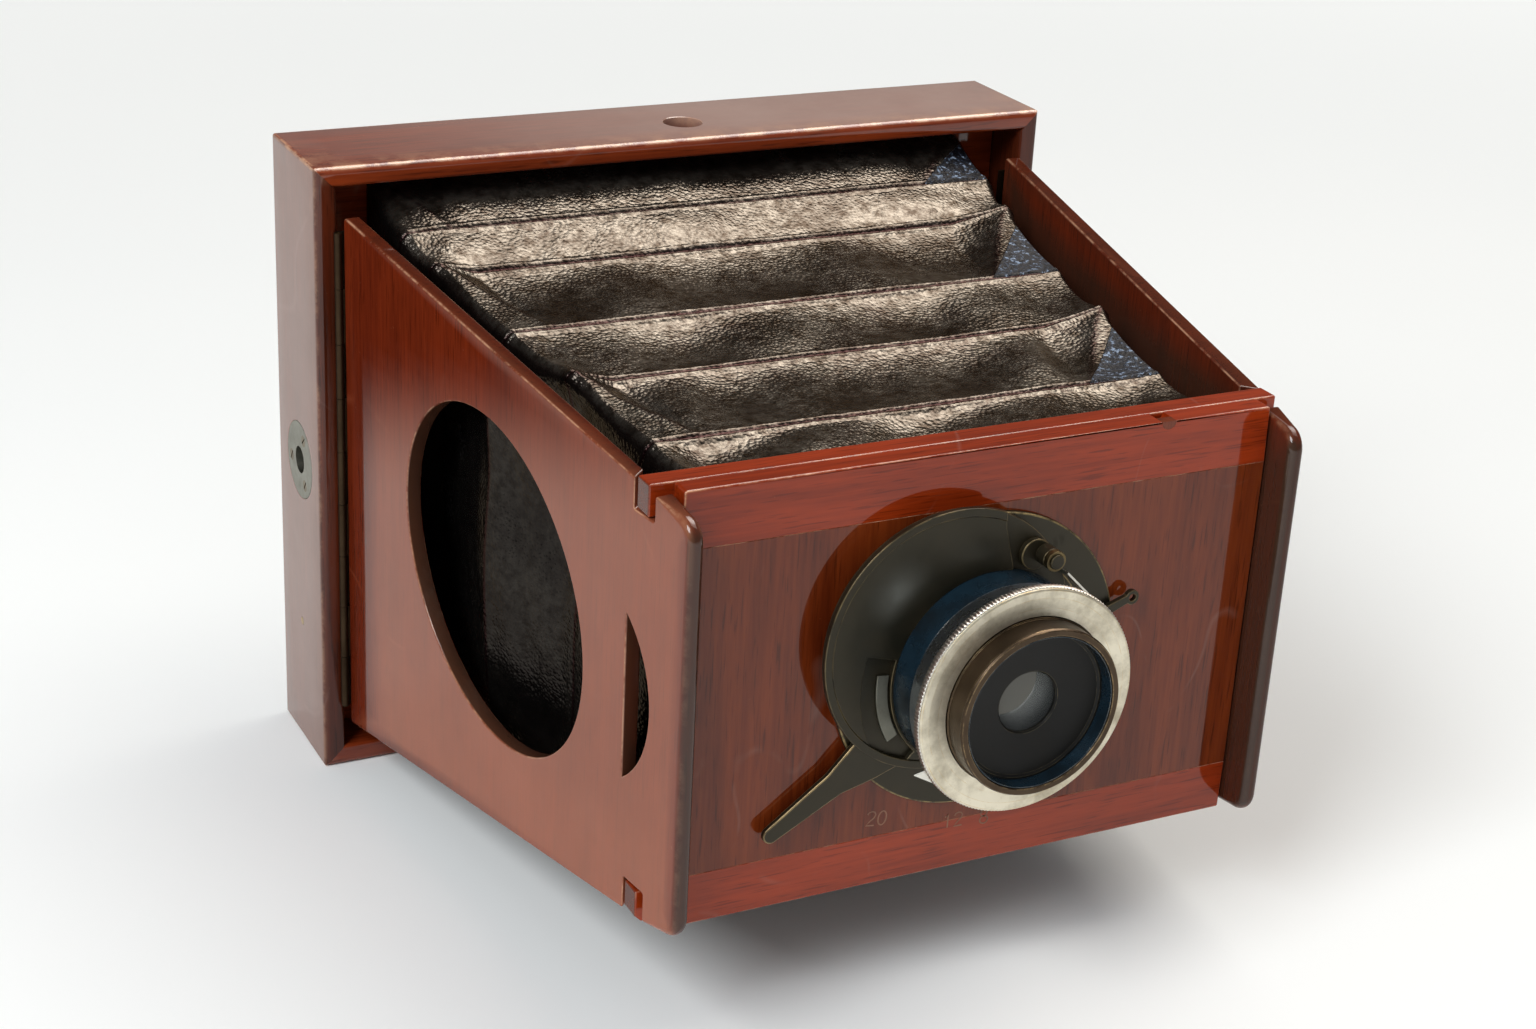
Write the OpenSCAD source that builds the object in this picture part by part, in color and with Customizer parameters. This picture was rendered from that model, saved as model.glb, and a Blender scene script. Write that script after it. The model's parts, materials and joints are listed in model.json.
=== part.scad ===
// Folding plate camera of polished mahogany: box frame, two hinged wings that
// hold the front by its lugs, leather bellows, brass lens with shutter.
// Millimetres. X is the width, the lens looks along -Y, +Z is up, z = 0 is the
// bottom of the frame. Sections below are written with the frame's front face
// at y = 0 and are shifted back at the end, so the whole is centred on Y.

/* [Frame] */
// Outer width of the back frame
frame_w = 146; // [130:1:180]
// Outer height of the back frame
frame_h = 116.3; // [100:0.1:150]
// Depth of the back frame, front to back
frame_d = 24.6; // [18:0.1:40]
// Thickness of the side and bottom boards
wall = 4; // [3:0.1:6]
// Thickness of the top board
wall_top = 3.5; // [3:0.1:6]
// Rounding of the front outer edges
edge_r = 1.25; // [0.5:0.05:2]
// Diameter of the blind hole in the top board
top_hole_d = 7.4; // [6:0.1:9]
// Depth of the blind hole in the top board
top_hole_deep = 2.6; // [2:0.1:3]

/* [Tripod bush] */
// Diameter of the bush plate let into the left board
bush_d = 14.5; // [12:0.1:18]
// Bore for the tripod screw
bush_bore = 5.1; // [4.5:0.05:6]
// Distance of the bush from the frame's front face
bush_y = 12.1; // [10:0.1:14]
// Height of the bush
bush_z = 58.1; // [50:0.1:66]

/* [Wings] */
// Gap between a wing's outer face and the side board beside it
wing_gap = 0.6; // [0.4:0.05:1]
// Inward slope of the wings per millimetre toward the front
wing_slope = 0.124; // [0.08:0.001:0.16]
// Thickness of a wing
wing_t = 2.8; // [2.4:0.1:4]
// Length of a wing from the frame's front face
wing_len = 115.6; // [100:0.1:130]
// Height of a wing's top edge at the frame
wing_top = 107.96; // [100:0.01:112]
// Fall of the top edge per millimetre
wing_fall = 0.12; // [0.05:0.001:0.2]
// Height of a wing's bottom edge at the frame
wing_bot = 9.28; // [5:0.01:15]
// Rise of the bottom edge per millimetre
wing_rise = 0.136; // [0.05:0.001:0.2]
// Rounding of the front corners
wing_corner = 3.8; // [2:0.1:6]
// Long half-axis of the oval hole
oval_a = 31.4; // [25:0.1:36]
// Short half-axis of the oval hole
oval_b = 26.9; // [20:0.1:30]
// Tilt of the oval hole
oval_tilt = 28.6; // [0:0.1:45]

/* [Front] */
// Distance of the rear board's rear face from the frame
board_y = 99.5; // [90:0.1:110]
// Thickness of the rear board
board_t = 4.1; // [3:0.1:5]
// Thickness of the lens panel in front of it
panel_t = 4; // [3:0.1:5]
// Clearance between the front boards' ends and the wings
board_gap = 0.34; // [0.2:0.01:0.6]
// Height of the lugs that pass through the wings
lug_h = 5.2; // [4:0.1:7]
// Bottom edge of the front boards
board_z0 = 22.9; // [20:0.1:26]
// Top edge of the front boards
board_z1 = 96.5; // [90:0.1:100]
// Height of the upper clamping strip
clamp_top_h = 9.5; // [7:0.1:12]
// Height of the lower clamping strip
clamp_bottom_h = 8.8; // [7:0.1:12]

/* [Lens] */
// Sideways place of the lens axis
lens_x = -0.3; // [-3:0.1:3]
// Height of the lens axis
lens_z = 60.65; // [55:0.05:66]
// Radius of the base disc
base_r = 25.2; // [22:0.1:28]
// Radius of the shutter case
case_r = 22; // [20:0.1:24]
// Sideways offset of the shutter case from the lens axis
case_dx = -7.2; // [-9:0.1:0]
// Upward offset of the shutter case from the lens axis
case_dz = 6.25; // [0:0.05:9]
// Radius of the barrel
barrel_r = 16.8; // [15:0.1:18]
// Radius of the knurled ring
knurl_r = 19; // [18:0.1:21]
// Outer radius of the hood
hood_r = 13.9; // [13:0.1:15]
// Inner radius of the hood
hood_in = 12.65; // [12:0.05:13.5]
// Radius of the opening in the stop plate
stop_r = 5.06; // [2:0.01:8]
// Radius of the sliding lens tube
tube_r = 16; // [14:0.1:17]
// Length of the barrel in front of the shutter case
barrel_len = 6.1; // [5:0.1:8]
// Length of the flared bright band
band_len = 4.7; // [3.5:0.1:6]
// Running clearance round tube and ring
run_gap = 0.06; // [0.02:0.01:0.1]
// Clearance between parts that move past each other
free_gap = 0.3; // [0.2:0.05:0.5]

/* [Hidden] */
wing_a = atan(wing_slope);
// Places along the lens axis, counted forward from the frame's front face
base_z = board_y + board_t + panel_t;
base_t = 1;
lever_z = base_z + base_t + 0.25;
case_z = base_z + 2.6;
body_z = case_z + 0.7;
band_z = body_z + barrel_len;
ring_z = band_z + band_len;
tube_z = base_z - 11.6;
cell_z = tube_z - 3.4;
front_end = ring_z + 6.1;
back_end = frame_d + 2;
oy = (front_end - back_end) / 2;
// Wings and their hinges follow the side boards, the front follows the wings
wing_x = frame_w / 2 - wall - wing_gap;
wing_in = wing_t / cos(wing_a);
board_hw = wing_x - wing_slope * base_z - wing_in - board_gap;
lug_x = wing_x - wing_slope * (board_y + board_t / 2);
lug_z1 = board_z1 - lug_h;
lug_z0 = board_z0 + lug_h;
clamp_z1 = board_z1 - clamp_top_h;
clamp_z0 = board_z0 + clamp_bottom_h;
slot_u0 = board_y / cos(wing_a) - free_gap;
slot_u1 = (board_y + board_t) / cos(wing_a) + 1.3;
pin_x = board_hw - 7.9;
pin_z0 = (board_z0 + clamp_z0) / 2;
pin_z1 = (board_z1 + clamp_z1) / 2;
oval_u = 55.6;
oval_v = 61.4;
finger_u = board_y - 0.8;
finger_v = 59.6;
finger_r = 17.1;
hin_x = wing_x + 0.75;
hin_y = 0.78;
hin_r = 0.75;
hin_n = 9;
hin_z0 = wing_bot + 3.72;
hin_z1 = wing_top - 2.96;
hin_t = 0.4;
hin_len = (hin_z1 - hin_z0) / hin_n;
scr_y = frame_d + 1;
scr_z = frame_h - wall_top - 0.2;
scr_r = 1;
panel_y0 = 10;
panel_y1 = 13.4;
gate_w = 104;
gate_h = 80;
gate_z = 58.2;
glass_w = gate_w + 4;
glass_h = gate_h + 2.5;
glass_t = 1.6;
screen_gap = 0.5;
screen_hw = frame_w / 2 - wall - screen_gap;
screen_t = 7.2;
screen_y = frame_d - 0.2 - screen_t;
rebate_y = frame_d - 4.6;
pin_y = 12.8;
pin_z = 25;
nose_r = 14.4;
case_rim_t = 1.4;
rel_x = 20.6;
rel_z = 65.2;
eye_dx = 6.7;
eye_dz = 2.4;
post_x = 8.0;
post_z = 79.4;
post_r = 1.7;
screw_a = [55, 175, 295];
screw_r = base_r - 2.4;
lever_r = tube_r + 3.2;
lever_len = 42.6;

wood = [0.42, 0.15, 0.07];
wood_brown = [0.45, 0.2, 0.1];
brass = [0.72, 0.55, 0.28];
nickel = [0.75, 0.72, 0.66];
black = [0.05, 0.05, 0.06];
leather = [0.06, 0.055, 0.05];

// Places a shape drawn in (x, z) with its depth counted forward from y = 0
module fwd() rotate([90, 0, 0]) children();

// The same, centred on the lens axis
module on_lens() fwd() translate([lens_x, lens_z, 0]) children();

// Flat ring between two radii, from one distance to another
module ring(r1, r0, a, b) translate([0, 0, a]) difference() {
  cylinder(r = r1, h = b - a, $fn = 96);
  translate([0, 0, -1]) cylinder(r = r0, h = b - a + 2, $fn = 96);
}

function arc(cx, cy, r, a0, a1, n) =
  [for (i = [0:n]) [cx + r * cos(a0 + (a1 - a0) * i / n),
    cy + r * sin(a0 + (a1 - a0) * i / n)]];

// Board with a quarter-round front outer edge, drawn along X
module edge_cut(len) difference() {
  translate([-1, -1, -1]) cube([len + 2, edge_r + 1, edge_r + 1]);
  translate([-2, edge_r, edge_r]) rotate([0, 90, 0])
    cylinder(r = edge_r, h = len + 4, $fn = 32);
}

module frame_top() color(wood) difference() {
  translate([-frame_w / 2 + wall, 0, frame_h - wall_top])
    cube([frame_w - 2 * wall, frame_d, wall_top]);
  translate([-frame_w / 2, 0, frame_h]) mirror([0, 0, 1]) edge_cut(frame_w);
  translate([1.6, 11.3, frame_h - top_hole_deep])
    cylinder(d = top_hole_d, h = top_hole_deep + 1, $fn = 64);
}

module frame_bottom() color(wood) difference() {
  translate([-frame_w / 2 + wall, 0, 0]) cube([frame_w - 2 * wall, frame_d, wall]);
  translate([-frame_w / 2, 0, 0]) edge_cut(frame_w);
  translate([0, frame_d - 3, wall / 2]) rotate([-90, 0, 0])
    cylinder(r = 0.7, h = 4, $fn = 24);
}

// Side board: rounded along its front edge and at its ends
module side_board() difference() {
  cube([wall, frame_d, frame_h]);
  translate([0, 0, 0]) rotate([0, -90, 0]) mirror([0, 0, 1]) edge_cut(frame_h);
  edge_cut(wall);
  translate([0, 0, frame_h]) mirror([0, 0, 1]) edge_cut(wall);
}

module frame_left() color(wood) difference() {
  translate([-frame_w / 2, 0, 0]) side_board();
  translate([-frame_w / 2 - 1, bush_y, bush_z]) rotate([0, 90, 0])
    cylinder(d = bush_d, h = 2.2, $fn = 64);
  translate([-frame_w / 2, bush_y, bush_z]) rotate([0, 90, 0])
    cylinder(d = 9, h = wall + 1, $fn = 64);
  translate([-frame_w / 2 - 1, pin_y, pin_z]) rotate([0, 90, 0])
    cylinder(r = 0.7, h = 3, $fn = 24);
  for (p = bush_pts) translate([-frame_w / 2, p[0], p[1]]) rotate([0, 90, 0])
    cylinder(r = 0.55, h = 3.6, $fn = 24);
}

module frame_right() color(wood)
  mirror([1, 0, 0]) translate([-frame_w / 2, 0, 0]) side_board();

bush_pts = [for (a = [117, -9, 237]) [bush_y + 5 * cos(a), bush_z + 5 * sin(a)]];

module tripod_bush() color(nickel) difference() {
  union() {
    translate([-frame_w / 2, bush_y, bush_z]) rotate([0, 90, 0])
      cylinder(d = bush_d, h = 1.2, $fn = 64);
    translate([-frame_w / 2, bush_y, bush_z]) rotate([0, 90, 0])
      cylinder(d = 9, h = wall - 0.1, $fn = 64);
  }
  translate([-frame_w / 2 - 1, bush_y, bush_z]) rotate([0, 90, 0])
    cylinder(d = bush_bore, h = wall + 2, $fn = 64);
  for (p = bush_pts) translate([-frame_w / 2 - 1, p[0], p[1]]) rotate([0, 90, 0])
    cylinder(r = 1.1, h = 1.7, $fn = 24);
  for (p = bush_pts) translate([-frame_w / 2 - 1, p[0], p[1]]) rotate([0, 90, 0])
    cylinder(r = 0.55, h = 4, $fn = 24);
}

module bush_screws() color(nickel) for (p = bush_pts)
  translate([-frame_w / 2, p[0], p[1]]) rotate([0, 90, 0]) difference() {
    union() {
      cylinder(r = 1.1, h = 0.7, $fn = 24);
      cylinder(r = 0.55, h = 3.5, $fn = 24);
    }
    rotate([0, 0, p[0] * 23]) translate([-2, -0.15, -0.1]) cube([4, 0.3, 0.45]);
  }

module brass_pin() color(brass) translate([-frame_w / 2, pin_y, pin_z])
  rotate([0, 90, 0]) cylinder(r = 0.7, h = 2, $fn = 24);

// Panel across the inside of the frame that carries the bellows' rear end
module bellows_frame() color(wood) difference() {
  translate([-frame_w / 2 + wall, panel_y0, wall])
    cube([frame_w - 2 * wall, panel_y1 - panel_y0, frame_h - wall - wall_top]);
  translate([-gate_w / 2, panel_y0 - 1, gate_z - gate_h / 2])
    cube([gate_w, panel_y1 - panel_y0 + 2, gate_h]);
}

// Bellows folds: share of the way forward, gap to the wings, rise of the top and
// the bottom over straight lines from frame to front, bulge of the sides
bel_y0 = -panel_y0;
bel_y1 = board_y - free_gap;
bel_top = [frame_h - wall_top - 5.8, board_z1 - 2.9];
bel_bot = [wall + 5.4, board_z0 + 2.7];
folds = [[0, 6.42, 0, 0, 0], [0.1447, 5.26, 0.44, -0.64, 1.6],
  [0.2418, 6.35, -1.36, 1.48, -1.6], [0.4716, 6.33, -2.68, 2.56, 1.6],
  [0.6456, 7.78, -0.95, 0.94, -1.6], [0.8608, 7.56, -1.47, 1.55, 1.6],
  [1, 6.88, 0, 0, 0]];
bel = [for (f = folds) let (y = bel_y0 + f[0] * (bel_y1 - bel_y0))
  [y, wing_x - wing_slope * y - wing_in - f[1],
    bel_top[0] + (bel_top[1] - bel_top[0]) * f[0] + f[2],
    bel_bot[0] + (bel_bot[1] - bel_bot[0]) * f[0] + f[3], f[4]]];
bel_wall = 0.9;
bel_cut = 2.2;

// Eight corners of one bellows section, shrunk by w
function bel_ring(s, w) = let (x = s[1] - w, t = s[2] - w, b = s[3] + w,
    c = bel_cut, m = s[4]) [
  [x - c, -s[0], t], [x, -s[0], t - c], [x + m, -s[0], (t + b) / 2],
  [x, -s[0], b + c], [x - c, -s[0], b], [-x + c, -s[0], b], [-x, -s[0], b + c],
  [-x - m, -s[0], (t + b) / 2], [-x, -s[0], t - c], [-x + c, -s[0], t]];

module bellows() color(leather) {
  n = len(bel);
  k = 10;
  pts = concat([for (s = bel) each bel_ring(s, 0)],
    [for (s = bel) each bel_ring(s, bel_wall)]);
  skin = [for (i = [0:n - 2], j = [0:k - 1]) each [
    [i * k + j, (i + 1) * k + j, (i + 1) * k + (j + 1) % k],
    [i * k + j, (i + 1) * k + (j + 1) % k, i * k + (j + 1) % k]]];
  o = n * k;
  inner = [for (f = skin) [f[2] + o, f[1] + o, f[0] + o]];
  m = (n - 1) * k;
  ends = [for (j = [0:k - 1]) each [
    [j, (j + 1) % k, o + (j + 1) % k], [j, o + (j + 1) % k, o + j],
    [m + (j + 1) % k, m + j, o + m + j],
    [m + (j + 1) % k, o + m + j, o + m + (j + 1) % k]]];
  polyhedron(points = pts, faces = concat(skin, inner, ends));
}

// Knuckles of the long hinge: even ones on the frame, odd ones on the wing
module knuckles(first) for (i = [first:2:hin_n - 1])
  translate([hin_x, -hin_y, hin_z0 + i * hin_len + 0.05])
    cylinder(r = hin_r, h = hin_len - 0.1, $fn = 32);

module right_fixed() difference() {
  union() {
    knuckles(0);
    translate([hin_x - 4.55, -0.42, hin_z0]) cube([3.5, 0.42, hin_z1 - hin_z0]);
    for (i = [0:2:hin_n - 1]) translate([hin_x - 1.15, -0.42, hin_z0 + i * hin_len + 0.05])
      cube([1.15, 0.39, hin_len - 0.1]);
  }
  translate([hin_x, -hin_y, hin_z0 - 1])
    cylinder(r = 0.4, h = hin_z1 - hin_z0 + 2, $fn = 24);
}

module right_leaf() difference() {
  union() {
    knuckles(1);
    translate([hin_x - 3.4, -1.0, hin_z0]) cube([2.35, hin_t, hin_z1 - hin_z0]);
    for (i = [1:2:hin_n - 1]) translate([hin_x - 1.15, -1.0, hin_z0 + i * hin_len + 0.05])
      cube([1.15, hin_t, hin_len - 0.1]);
  }
  translate([hin_x, -hin_y, hin_z0 - 1])
    cylinder(r = 0.42, h = hin_z1 - hin_z0 + 2, $fn = 24);
}

module right_pin() translate([hin_x, -hin_y, hin_z0 + 0.2])
  cylinder(r = 0.4, h = hin_z1 - hin_z0 - 0.4, $fn = 24);

module right_hinge_fixed() color(brass) right_fixed();
module left_hinge_fixed() color(brass) mirror([1, 0, 0]) right_fixed();
module right_hinge_leaf() color(brass) right_leaf();
module left_hinge_leaf() color(brass) mirror([1, 0, 0]) right_leaf();
module right_hinge_pin() color(brass) right_pin();
module left_hinge_pin() color(brass) mirror([1, 0, 0]) right_pin();

function top_at(u) = wing_top - wing_fall * u;
function bot_at(u) = wing_bot + wing_rise * u;

// Outline of a wing: u runs forward from the frame, v is the height
wing_u0 = 0.6;
wing_pts = concat([[wing_u0, bot_at(wing_u0)]],
  arc(wing_len - wing_corner, bot_at(wing_len) + wing_corner + 0.5, wing_corner,
    -84, 0, 8),
  arc(wing_len - wing_corner, top_at(wing_len) - wing_corner - 0.5, wing_corner,
    0, 84, 8),
  [[wing_u0, top_at(wing_u0)]]);

oval_pts = [for (i = [0:71]) let (p = oval_a * cos(i * 5), q = oval_b * sin(i * 5))
  [oval_u - p * cos(oval_tilt) + q * sin(oval_tilt),
    oval_v + p * sin(oval_tilt) + q * cos(oval_tilt)]];

// Slot for a lug, relieved inward so that the lug leaves it as the wing opens
module lug_slot(u0, u1, v0, v1) translate([0, v1, 0]) rotate([90, 0, 0])
  linear_extrude(height = v1 - v0)
    polygon([[u0, -1], [u1, -1], [u1, wing_t + 1], [u0 - 2.9, wing_t + 1],
      [u0 - 2.15, wing_t], [u0, 0]]);

module wing_blank() translate([wing_x, 0, 0]) rotate([0, 0, -90 - wing_a])
  rotate([90, 0, 0]) difference() {
    linear_extrude(height = wing_t) difference() {
      polygon(wing_pts);
      polygon(oval_pts);
      intersection() {
        translate([finger_u - 9.9, finger_v]) circle(r = finger_r, $fn = 96);
        translate([finger_u, finger_v - 20]) square([20, 40]);
      }
    }
    lug_slot(slot_u0, slot_u1, lug_z1 - free_gap, frame_h);
    lug_slot(slot_u0 + 0.2, slot_u1 + 0.3, 0, lug_z0 + 0.5);
  }

// The rear edge is planed to meet the hinge leaf
module wing() difference() {
  wing_blank();
  translate([wing_x - 8, -1, 0]) cube([16, 4, frame_h]);
}

module right_wing() color(wood) wing();
module left_wing() color(wood) mirror([1, 0, 0]) wing();

module rear_board() color(wood) difference() {
  fwd() translate([0, 0, board_y]) linear_extrude(height = board_t) union() {
    translate([-board_hw, board_z0]) square([2 * board_hw, board_z1 - board_z0]);
    translate([-lug_x, lug_z1]) square([2 * lug_x, lug_h]);
    polygon([[-lug_x, board_z0 + 0.7], [-lug_x + 1.2, board_z0 - 0.4],
      [lug_x - 1.2, board_z0 - 0.4], [lug_x, board_z0 + 0.7], [lug_x, lug_z0],
      [-lug_x, lug_z0]]);
  }
  on_lens() translate([0, 0, board_y - 1]) cylinder(r = tube_r + 4, h = board_t + 2, $fn = 96);
  for (s = [-1, 1], z = [pin_z0, pin_z1])
    translate([s * pin_x, -board_y - board_t - 1, z]) rotate([-90, 0, 0])
      cylinder(r = 0.6, h = 3.5, $fn = 24);
}

module lens_panel() color(wood_brown) difference() {
  fwd() translate([-board_hw, clamp_z0, board_y + board_t])
    cube([2 * board_hw, clamp_z1 - clamp_z0, panel_t]);
  on_lens() translate([0, 0, board_y]) cylinder(r = tube_r + 2, h = 20, $fn = 96);
  for (a = screw_a) on_lens() rotate([0, 0, a]) translate([screw_r, 0, base_z - 2.5])
    cylinder(r = 0.5, h = 3, $fn = 24);
}

module strip(z0, z1) fwd() translate([-board_hw, z0, board_y + board_t])
  cube([2 * board_hw, z1 - z0, panel_t]);

module clamp_top() color(wood) difference() {
  strip(clamp_z1, board_z1);
  plug_shape(0.0, 1);
  for (s = [-1, 1]) pin_at(s * pin_x, pin_z1, 4);
}

module clamp_bottom() color(wood) difference() {
  strip(board_z0, clamp_z0);
  for (s = [-1, 1]) pin_at(s * pin_x, pin_z0, 4);
}

// Fixing pin of a strip, set in from the rear board
module pin_at(x, z, len) translate([x, -board_y - board_t, z]) rotate([90, 0, 0])
  translate([0, 0, -2.4]) cylinder(r = 0.6, h = len, $fn = 24);

module panel_pins() color(brass) for (s = [-1, 1], z = [pin_z0, pin_z1])
  pin_at(s * pin_x, z, 4);

// Half-round plug in the top edge of the upper strip
module plug_shape(grow, extra) translate([32.2, -board_y - board_t - panel_t - extra,
    board_z1]) rotate([-90, 0, 0]) intersection() {
  cylinder(r = 1.35 + grow, h = 1.8 + extra, $fn = 32);
  translate([-3, extra > 0 ? -3 : 0, 0]) cube([6, 6, 9]);
}

module top_plug() color(wood_brown) plug_shape(0, 0);

module lens_base() color(black) difference() {
  on_lens() union() {
    translate([0, 0, base_z]) cylinder(r = base_r, h = base_t, $fn = 128);
    translate([0, 0, board_y + 0.5])
      cylinder(r = tube_r + 2, h = base_z - board_y - 0.5, $fn = 96);
  }
  on_lens() translate([0, 0, board_y - 9]) cylinder(r = tube_r + run_gap, h = 30, $fn = 96);
  for (a = screw_a) on_lens() rotate([0, 0, a])
    translate([screw_r, 0, base_z - 7]) cylinder(r = 0.5, h = 12, $fn = 24);
  for (a = screw_a) on_lens() rotate([0, 0, a])
    translate([screw_r, 0, base_z + base_t - 0.6]) cylinder(r = 1.2, h = 2, $fn = 24);
  fwd() translate([rel_x, rel_z, base_z - 2]) cylinder(r = 0.6, h = 5, $fn = 24);
}

module base_screws() color(black) for (a = screw_a) on_lens()
  rotate([0, 0, a]) translate([screw_r, 0, base_z + base_t - 3.4]) difference() {
    union() {
      cylinder(r = 0.5, h = 3, $fn = 24);
      translate([0, 0, 2.8]) cylinder(r = 1.15, h = 0.6, $fn = 24);
    }
    rotate([0, 0, a]) translate([-2, -0.15, 3.1]) cube([4, 0.3, 1]);
  }

// Focusing lever: a ring round the tube with a tapered arm
module focus_lever() color(black) on_lens() difference() {
  translate([0, 0, lever_z]) linear_extrude(height = 1.05) union() {
    circle(r = lever_r, $fn = 96);
    rotate([0, 0, 213.4]) {
      polygon([[15, -5.6], [24, -3.6], [30, -2.1], [lever_len, -1.4], [lever_len, 1.4],
        [30, 2.4], [24, 4.4], [15, 6.4]]);
      translate([lever_len, 0]) circle(r = 1.4, $fn = 32);
    }
  }
  translate([0, 0, base_z - 7]) cylinder(r = tube_r + 0.1, h = 20, $fn = 96);
}

// Release lever with a pierced eye for a cord
module release_lever() color(black) fwd() translate([rel_x, rel_z, lever_z + 0.05])
  linear_extrude(height = 1) difference() {
    union() {
      circle(r = 1.35, $fn = 32);
      polygon([[-0.3, 0.9], [0.3, -0.9], [eye_dx - 0.4, eye_dz - 0.7],
        [eye_dx - 0.8, eye_dz + 0.6]]);
      translate([eye_dx, eye_dz]) circle(r = 1.25, $fn = 32);
    }
    translate([eye_dx, eye_dz]) circle(r = 0.6, $fn = 24);
    circle(r = 0.65, $fn = 24);
  }

module release_screw() color(brass) fwd() {
  translate([rel_x, rel_z, base_z + 0.1]) cylinder(r = 0.6, h = 2.6, $fn = 24);
  translate([rel_x, rel_z, lever_z + 1.1]) cylinder(r = 1.05, h = 0.5, $fn = 24);
}

module case_plate() color(black) on_lens() difference() {
  translate([case_dx, case_dz, case_z])
    cylinder(r = case_r - 0.4, h = body_z - case_z, $fn = 128);
  translate([0, 0, case_z - 9]) cylinder(r = nose_r, h = 20, $fn = 96);
}

// Corner of the case that is left open at the upper right
cut_pts = [[1.2, 23.95], [3.0, 17.15], [3.0, 8], [22, 8], [22, 40], [0, 40]];
window_pts = concat(arc(0, 0, 22.5, 165, 225, 16), arc(0, 0, 17.3, 225, 165, 16));

module shutter_case() color(black) on_lens() difference() {
  translate([case_dx, case_dz, body_z])
    cylinder(r = case_r - case_rim_t, h = 0.9, $fn = 128);
  translate([0, 0, body_z - 0.9]) linear_extrude(height = 4) {
    polygon(cut_pts);
    polygon(window_pts);
  }
  translate([0, 0, case_z - 9]) cylinder(r = barrel_r, h = 20, $fn = 96);
}

module case_rim() color(black) on_lens() difference() {
  translate([case_dx, case_dz, 0]) ring(case_r, case_r - case_rim_t, body_z, body_z + 1.1);
  translate([0, 0, case_z - 9]) cylinder(r = barrel_r, h = 20, $fn = 96);
  translate([0, 0, body_z - 0.9]) linear_extrude(height = 4) polygon(cut_pts);
}

module barrel() color([0.1, 0.12, 0.16]) on_lens() ring(barrel_r, nose_r, body_z, band_z);

module silver_band() color(nickel) on_lens() rotate_extrude($fn = 96)
  polygon([[nose_r, band_z], [barrel_r, band_z], [knurl_r - 0.5, ring_z], [nose_r, ring_z]]);

module hood() color([0.3, 0.2, 0.1]) on_lens() union() {
  ring(hood_r, hood_in, ring_z + 1.9, front_end - 0.6);
  ring(hood_r + 0.2, hood_in, ring_z, ring_z + 1.9);
  ring(nose_r, hood_in, band_z, ring_z);
}

module hood_rim() color(brass) on_lens() ring(hood_r, hood_in, front_end - 0.6, front_end);

// Stop plate: shallow black cone with the lens opening
module stop_plate() color(black) on_lens() translate([0, 0, ring_z])
  rotate_extrude($fn = 96) polygon([[stop_r, 1.4], [hood_in, 2.7], [hood_in, 3.3],
    [hood_in - 0.45, 3.3], [stop_r, 2.1]]);

module front_glass() color([0.75, 0.8, 0.8, 0.4]) on_lens() translate([0, 0, band_z])
  rotate_extrude($fn = 64) polygon(concat([[0, 0], [hood_in, 0], [hood_in, 2]],
    [for (i = [8:-1:0]) [hood_in * i / 8, 2 + 2.2 * (1 - pow(i / 8, 2))]]));

module lens_tube() color(black) on_lens() ring(tube_r, nose_r, tube_z, case_z);

module rear_cell() color(brass) on_lens() ring(nose_r + 1, nose_r - 1.4, cell_z, tube_z);

module rear_glass() color([0.75, 0.8, 0.8, 0.4]) on_lens() translate([0, 0, cell_z])
  rotate_extrude($fn = 64) polygon(concat([for (i = [0:8])
    [(nose_r - 1.4) * i / 8, -0.4 + 1.6 * pow(i / 8, 2)]], [[nose_r - 1.4, 3], [0, 3]]));

module pivot_boss() color(black) fwd() translate([0, 0, body_z]) difference() {
  translate([post_x - 1.4, post_z - 0.1, 0]) cylinder(r = 2.6, h = 1.1, $fn = 48);
  translate([post_x, post_z, -1]) cylinder(r = 0.85, h = 4, $fn = 24);
}

module spring_strip() color(nickel) fwd() translate([0, 0, body_z])
  linear_extrude(height = 3.1)
    polygon([[11.3, 76.1], [15.5, 71.9], [15.75, 72.15], [11.55, 76.35]]);

module setting_post() color(black) fwd() translate([post_x, post_z, body_z]) union() {
  translate([0, 0, 0.05]) cylinder(r = 0.8, h = 1.2, $fn = 24);
  translate([0, 0, 1.2]) cylinder(r = post_r, h = 2.4, $fn = 48);
  translate([0, 0, 3.6]) cylinder(r = 1.2, h = 1.5, $fn = 48);
}

module post_ring() color(brass) fwd() translate([post_x, post_z, body_z])
  ring(post_r, 1.2, 3.6, 4.7);

// Pale sector seen through the curved window of the case
module window_blade() color(nickel) on_lens() translate([0, 0, body_z + 0.1])
  linear_extrude(height = 0.4)
    polygon(concat(arc(0, 0, 19.6, 174, 210, 14), arc(0, 0, 17.6, 210, 174, 14)));

// Shutter blade behind the stop plate, turning on a pin near the hood wall
module shutter_blade() color([0.35, 0.36, 0.38]) on_lens()
  translate([0, 0, ring_z + 0.5]) linear_extrude(height = 0.3) difference() {
    union() {
      translate([5.48, 9.08]) circle(r = 1.5, $fn = 32);
      translate([-3.6, 3.6]) circle(r = 5.6, $fn = 48);
      polygon([[-4.2, 4.8], [-1.6, 2.0], [6.2, 7.8], [4.8, 10.4]]);
    }
    translate([5.48, 9.08]) circle(r = 0.55, $fn = 24);
  }

module blade_pin() color(brass) on_lens() translate([5.48, 9.08, ring_z - 0.1])
  cylinder(r = 0.5, h = 2.3, $fn = 24);

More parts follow.
